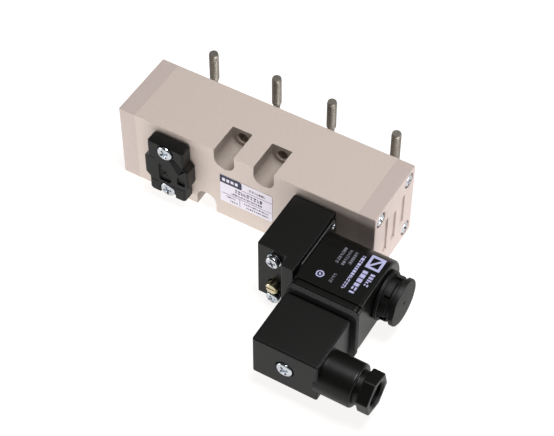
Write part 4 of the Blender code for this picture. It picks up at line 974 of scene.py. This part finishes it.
def build_coil():
    body = "coil_assembly"
    left, right = COIL_X
    sections = [(coil_outline(0.35), left), (coil_outline(0.1), left + 0.1), (coil_outline(0.0), left + 0.35)]
    sections += rounded_end(coil_outline, 1.4, right, 6)
    width = FLANGE_X[1] - FLANGE_X[0]

    def flange(growth):
        size = (width + 2 * growth, 27.2 + 2 * growth, 2.5 + growth)
        return rounded_rectangle(*size, 8, (FLANGE_X[0] + width / 2, TUBE_Z))
    rim = -FLANGE_FRONT
    plate = facing_front(grown(
        flange, (-0.3, -COIL_FRONT - 0.5), (0.0, -COIL_FRONT - 0.2), (0.0, rim - 0.35), (-0.1, rim - 0.1),
        (-0.35, rim),
    ))
    bore = [(45, 0), (45, 7.5), (46.4, 6.5), (75.8, 6.5), (77.2, 7.5), (77.2, 0)]
    cuts = [
        along_x(turned(bore), TUBE),
        along_x(disc(48.9, 73.7, 12.4), TUBE),
        hole_y(PLUG_X, TUBE_Z, FLANGE_FRONT - 1, TUBE_Y - 16.3, 1.7, 28, 0.2),
    ]
    cuts += [blade_space(*blade, FLANGE_FRONT - 1, TUBE_Y - 18.0, 0.15) for _, *blade in BLADES]
    piece("coil_housing", across_tube(loft(sections)), COIL_BLACK, body, joins=[plate], cuts=cuts)
    bobbin = [
        (49.2, 6.75), (49.2, 12.1), (50.3, 12.1), (50.3, 7.5), (72.3, 7.5), (72.3, 12.1), (73.4, 12.1),
        (73.4, 6.75),
    ]
    piece("coil_bobbin", along_x(turned(eased(bobbin)), TUBE), NATURAL, body)
    start, end, turns = 50.6, 72.0, 46
    step = (end - start) / turns
    crown = ((0.0, 11.62), (0.25, 11.76), (0.5, 11.8), (0.75, 11.76))
    wires = [(start, 7.8)]
    for i in range(turns):
        low = start + step * i
        wires += [(low + share * step, radius) for share, radius in crown]
    wires += [(end, 11.62), (end, 7.8)]
    piece("coil_winding", along_x(turned(wires, 80), TUBE), COPPER, body, sharp=60)
    for name, *blade in BLADES:
        piece(f"coil_blade_{name}", blade_space(*blade, -66.0, -52.3), TIN, body, edge=(0.22, 3))


def build_coil_nut():
    profile = [
        (76.5, 6.6), (76.5, 10.6), (76.8, 10.9), (77.9, 10.9), (78.2, 10.6), (78.2, 9.5), (78.9, 9.5),
        (78.9, 9.8), (79.1, 10.0), (81.3, 10.0), (81.6, 9.7), (81.6, 8.6), (83.2, 8.6), (83.2, 10.3),
        (83.4, 10.5), (84.9, 10.5), (85.2, 10.35), (85.4, 10.0), (85.4, 0.9), (85.2, 0.7), (83.2, 0.7),
        (83.2, 3.9), (78.0, 3.9), (78.0, 6.6),
    ]
    cuts = [turned_by(box((-1.5, 8.7, 78.8), (1.5, 12, 81.7)), 60 * i + 15) for i in range(6)]
    cuts += [turned_by(box((9.9, -8, 83.0), (12, 8, 86)), turn) for turn in (70, 250)]
    at = Matrix.Translation((0, *TUBE)) @ FACING["right"]
    piece("coil_nut", turned(profile, 96), NUT_BLACK, "coil_nut", at, cuts=cuts)


def build_plug():
    body = "coil_assembly"
    back, front = PLUG_Y
    half_x, half_z = PLUG_HALF
    left, right = PLUG_X - half_x, PLUG_X + half_x
    low, high = TUBE_Z - half_z, TUBE_Z + half_z
    outline = rounded_rectangle(32.2, 28.2, 3.0, 8, (60.9, TUBE_Z - 0.2))
    window = box((PLUG_X - 10, -61, TUBE_Z - 8.6), (PLUG_X + 10, -55, TUBE_Z + 8.6))
    sheet = facing_front(prism(outline, 56.9, 59.5))
    piece("connector_gasket", sheet, RUBBER, body, edge=(0.5, 4), cuts=[window])

    neck = [
        (right - 2, 0.0), (right - 2, 9.4), (87.9, 9.4), (88.3, 9.3), (88.65, 9.05), (88.9, 8.7),
        (88.9, 7.3), (94.2, 7.3), (94.5, 7.0), (94.5, 0.0),
    ]
    recess = [(1, 0), (1, 5.3), (0, 4.35), (-0.25, 4.1), (-1.3, 4.1), (-1.3, 0)]
    wall = 2.4
    cuts = [
        box((left + wall, front + 4.0, low + wall), (right - wall, back + 1, high - wall)),
        along_x(disc(right - 3.4, 95.5, 6.3), GLAND),
        facing_front(turned(recess, 48), (PLUG_X, front, TUBE_Z)),
        hole_y(PLUG_X, TUBE_Z, front, front + 5, 1.8, 32),
    ]
    shell = box((left, front, low), (right, back, high))
    neck = along_x(turned(neck, 80), GLAND)
    piece("plug_housing", shell, BLACK, body, edge=(0.9, 4), joins=[neck], cuts=cuts)

    inset = wall + 0.3
    cuts = [hole_y(PLUG_X, TUBE_Z, -71, -59, 1.8, 32)]
    cuts += [blade_space(*blade, -67, -59, 0.3) for _, *blade in BLADES]
    insert = box((left + inset, -69.8, low + inset), (right - inset, -60.1, high - inset))
    piece("terminal_insert", insert, GREY, body, edge=(0.5, 3), cuts=cuts)

    mesh = screw_mesh(3.6, 2.0, 1.35, 33.0)
    screw_at("plug_screw", mesh, (PLUG_X, front + 1.2, TUBE_Z), 30, body=body)
    ring = eased([(84.0, 3.2), (84.0, 6.0), (94.3, 6.0), (94.3, 3.2)], 0.5)
    piece("gland_grommet", along_x(turned(ring), GLAND), RUBBER, body)


def build_gland_nut():
    bore = [(90.1, 0.0), (90.1, 7.6), (94.8, 7.6), (94.8, 5.3), (95.6, 5.3), (96.7, 6.4), (96.7, 0.0)]
    at = Matrix.Translation((0, *GLAND)) @ FACING["right"]
    shape = prism(hexagon(9.2, 15), 91.1, 96.5)
    piece("gland_nut", shape, BLACK, "gland_nut", at, edge=(0.6, 3), cuts=[turned(bore)])


# ---- loose screws, label and print


def build_mounting_screws():
    before = [
        (0.0, 0.0), (0.0, 3.1), (0.12, 3.35), (0.4, 3.5), (3.85, 3.5), (4.0, 3.35), (4.0, 1.75), (4.2, 1.5),
        (17.0, 1.5), (17.4, 1.72),
    ]
    tip = [(33.7, 2.0), (33.9, 2.0), (34.0, 1.9), (34.0, 0.0)]
    thread = threaded(before, 17.5, 33.6, 1.5, 2.2, 1.2, tip, 40, 6, run_out=0.3)
    corner = 1.73
    socket = loft([(hexagon(1.35 * corner), -0.5), (hexagon(corner), 0.15), (hexagon(corner), 2.0)])
    mesh = finished(thread, cuts=[socket], sharp=40)
    for number, (x, y) in enumerate(MOUNTING_SCREWS, 1):
        at = Matrix.Translation((x, y, 0)) @ Matrix.Rotation(0.9 * number, 4, "Z")
        node = f"mounting_screw_{number}"
        place(f"{node}_fine", mesh.copy(), SCREW_STEEL, node, (node,), at)


def bars(rectangles, low, high):
    """One mesh of separate thin bars, each (x0, x1, y0, y1), between two heights along local Z."""
    bm = bmesh.new()
    for x0, x1, y0, y1 in rectangles:
        corners = ((x0, y0), (x1, y0), (x1, y1), (x0, y1))
        skin(bm, [[bm.verts.new((x, y, z)) for x, y in corners] for z in (low, high)])
    bmesh.ops.recalc_face_normals(bm, faces=bm.faces)
    return bm


def film(name, shape, material, body="valve"):
    place(name, finished(shape), material, body, weigh=False)


def dashes(start, end, middle, height, width, gap, seed):
    """Dashes between start and end that stand for a line of print, as (along0, along1, across0, across1)."""
    pick = random.Random(seed)
    found = []
    at = start
    while at < end - 0.3 * width:
        size = min(width * pick.uniform(0.55, 1.25), end - at)
        kind = pick.random()
        if kind < 0.4:
            found.append((at, at + size, middle - height / 2, middle + height / 2))
        elif kind < 0.75:
            found.append((at, at + size, middle + height * 0.12, middle + height / 2))
            found.append((at, at + size * 0.8, middle - height / 2, middle - height * 0.16))
        else:
            found.append((at, at + 0.4 * size, middle - height / 2, middle + height / 2))
            found.append((at + 0.62 * size, at + size, middle - height / 2, middle + height * 0.1))
        at += size + gap * pick.uniform(0.8, 1.6)
    return found


def build_label():
    x0, x1, z0, z1 = LABEL
    width, height = x1 - x0, z1 - z0
    face = 17.655  # where the print lies, just inside the label's front
    outline = rounded_rectangle(width, height, 0.5, 5, ((x0 + x1) / 2, (z0 + z1) / 2))
    piece("rating_label", facing_front(prism(outline, 17.55, 17.66)), PAPER)

    def on_label(rows):
        return [
            (x0 + u0 * width, x0 + u1 * width, z1 - v1 * height, z1 - v0 * height)
            for u0, u1, v0, v1 in rows
        ]

    def row(u0, u1, v, tall, wide, seed):
        found = dashes(u0 * width, u1 * width, 0.0, tall, wide, 0.3 * wide, seed)
        return [(x0 + a, x0 + b, z1 - v * height + c, z1 - v * height + d) for a, b, c, d in found]

    def show(name, rectangles, material, low=face, high=face + 0.02):
        film(name, facing_front(bars(rectangles, low, high)), material)

    side, corner = x0 + 0.42 * width, 1.2
    tab = [(x0, z1), (x0, z1 - 4.6), (x0 + 0.40 * width, z1 - 4.6), (side, z1 - 4.2), (side, z1 - corner)]
    tab += arc((side - corner, z1 - corner), corner, 0, 90, 6)
    film("label_tab", facing_front(prism(tab, face, face + 0.02)), NAVY)
    marks = [(x0 + 1.2 + 2.1 * i, x0 + 2.6 + 2.1 * i, z1 - 3.3, z1 - 1.5) for i in range(4)]
    show("label_tab_marks", marks, PAPER, face + 0.017, face + 0.035)
    rules = on_label([(0.42, 0.99, 0.275, 0.295), (0.03, 0.99, 0.655, 0.675), (0.37, 0.38, 0.675, 0.97)])
    show("label_rules", rules, RULE)
    show("label_bold_row", row(0.29, 0.84, 0.42, 2.1, 1.35, 3), INK, high=face + 0.025)
    fine = row(0.56, 0.88, 0.165, 1.3, 0.9, 5) + row(0.22, 0.82, 0.575, 1.0, 0.75, 8)
    fine += row(0.12, 0.29, 0.76, 0.95, 0.7, 13) + row(0.19, 0.33, 0.89, 0.95, 0.8, 21)
    fine += row(0.46, 0.92, 0.77, 0.95, 0.7, 34) + row(0.5, 0.94, 0.89, 0.95, 0.75, 55)
    show("label_fine_rows", fine, INK)


def build_coil_print():
    """Rows of dashes on the coil's top, their lines running towards -Y, beside the symbol of a solenoid."""
    low = TUBE_Z + COIL_RADIUS - 0.01
    high = low + 0.03

    def rows(entries):
        found = []
        for x, y_start, y_end, tall, wide, seed in entries:
            for a, b, c, d in dashes(-y_start, -y_end, x, tall, wide, 0.28 * wide, seed):
                found.append((c, d, -b, -a))
        return found

    def show(name, shape, material=LIGHT_PRINT):
        film(f"coil_print{name}", shape, material, "coil_assembly")

    x0, x1, y0, y1, band = 67.6, 74.0, -35.9, -28.9, 1.15
    strong = rows([
        (72.6, -37.8, -45.0, 1.9, 1.6, 4), (69.2, -37.6, -50.2, 2.2, 1.7, 9),
        (65.2, -31.2, -50.2, 1.4, 1.1, 14),
    ])
    strong += [
        (x0, x1, y0, y0 + band), (x0, x1, y1 - band, y1),
        (x0, x0 + band, y0 + band, y1 - band), (x1 - band, x1, y0 + band, y1 - band),
    ]
    show("", bars(strong, low, high))
    stroke = turned_by(box((-3.1, -0.45, low), (3.1, 0.45, high - 0.005)), 48)
    show("_stroke", moved(stroke, ((x0 + x1) / 2, (y0 + y1) / 2, 0)))
    faint = rows([
        (61.8, -31.1, -38.0, 1.25, 0.95, 19), (59.4, -31.2, -40.2, 1.25, 0.95, 25),
        (56.8, -31.0, -40.1, 1.25, 1.0, 30), (59.4, -45.0, -50.1, 1.25, 1.0, 36),
    ])
    show("_faint", bars(faint, low, high), FAINT_PRINT)
    ring = turned([(low, 1.2), (low, 1.75), (high, 1.75), (high, 1.2)], 40)
    for name, shape in (("_ring", ring), ("_dot", disc(low, high, 0.55, 24))):
        show(name, moved(shape, (54.0, -48.0, 0)))


# ---- stage


def build_stage():
    """A pale floor that glows. It is brightest for diffuse rays, so that its bounce lights the paint, less
    bright in the camera's own view, and dimmest in reflections, so that black plastic stays dark."""
    in_reflections, in_bounce, more_in_view = 0.52, 2.3, 0.38
    bm = bmesh.new()
    bmesh.ops.create_grid(bm, x_segments=1, y_segments=1, size=4.0)
    floor = temporary(bm, "floor")
    floor.location.z = -0.0002
    nodes = Nodes("studio_floor", Roughness=0.9)
    nodes.color(nodes.noise(0.02, 2.0), (0.24, 0.24, 0.24), 1.0, 0.25 / 0.24)
    diffuse = nodes.add("LightPath", "Is Diffuse Ray")
    glow = nodes.add("MapRange", "Result", {"Value": diffuse, "To Min": in_reflections, "To Max": in_bounce})
    inputs = {0: nodes.add("LightPath", "Is Camera Ray"), 1: more_in_view, 2: glow}
    glow = nodes.add("Math", "Value", inputs, operation="MULTIPLY_ADD")
    fill(nodes.shader, {
        "Specular IOR Level": 0.0, "Emission Color": (1.0, 0.985, 0.97, 1.0), "Emission Strength": glow,
    })
    floor.data.materials.append(nodes.material)


def build_world():
    """Dim surroundings, about twice as bright behind the object as in front of it."""
    world = bpy.data.worlds.new("studio")
    bpy.context.scene.world = world
    world.use_nodes = True
    tree = world.node_tree
    backwards = add_node(tree, "SeparateXYZ", "Y", {0: add_node(tree, "TexCoord", "Generated")})
    inputs = {"Value": backwards, "From Min": 0.35, "From Max": -0.6, "To Min": 0.11, "To Max": 0.05}
    strength = add_node(tree, "MapRange", "Result", inputs)
    fill(tree.nodes["Background"], {"Strength": strength, "Color": (1.0, 0.99, 0.98, 1.0)})


def build_lights():
    centre = Vector((0.01, -0.03, 0.02))
    for name, location, size, power in (
        ("front", (-1.15, -0.64, 0.08), (1.0, 0.12), 3.0),
        ("end", (1.10, 0.25, 0.09), (0.6, 0.14), 3.0),
        ("top", (0.24, 0.02, 1.10), (0.5, 0.4), 12.3),
    ):
        light = bpy.data.lights.new(name, "AREA")
        light.shape = "RECTANGLE"
        light.size, light.size_y = size
        light.energy = power
        obj = added(name, light)
        obj.location = location
        obj.rotation_euler = (centre - obj.location).to_track_quat("-Z", "Y").to_euler()


def build_camera():
    camera = bpy.data.cameras.new("camera")
    camera.lens = 105.84
    camera.sensor_width = 36.0
    camera.sensor_fit = "HORIZONTAL"
    camera.clip_start = 0.01
    obj = added("camera", camera)
    obj.location = (0.24254, -0.4025, 0.54244)
    obj.rotation_euler = (math.radians(40.21), 0.0, math.radians(30.447))
    bpy.context.scene.camera = obj
    bpy.context.scene.view_settings.view_transform = "Standard"


build_body()
build_cap("left", -1)
build_cap("right", 1)
for build in (
    build_cap_screws, build_mounting_gasket, build_spool, build_cover, build_block, build_override,
    build_armature, build_coil, build_coil_nut, build_plug, build_gland_nut, build_mounting_screws,
    build_label, build_coil_print, build_stage, build_world, build_lights, build_camera,
):
    build()
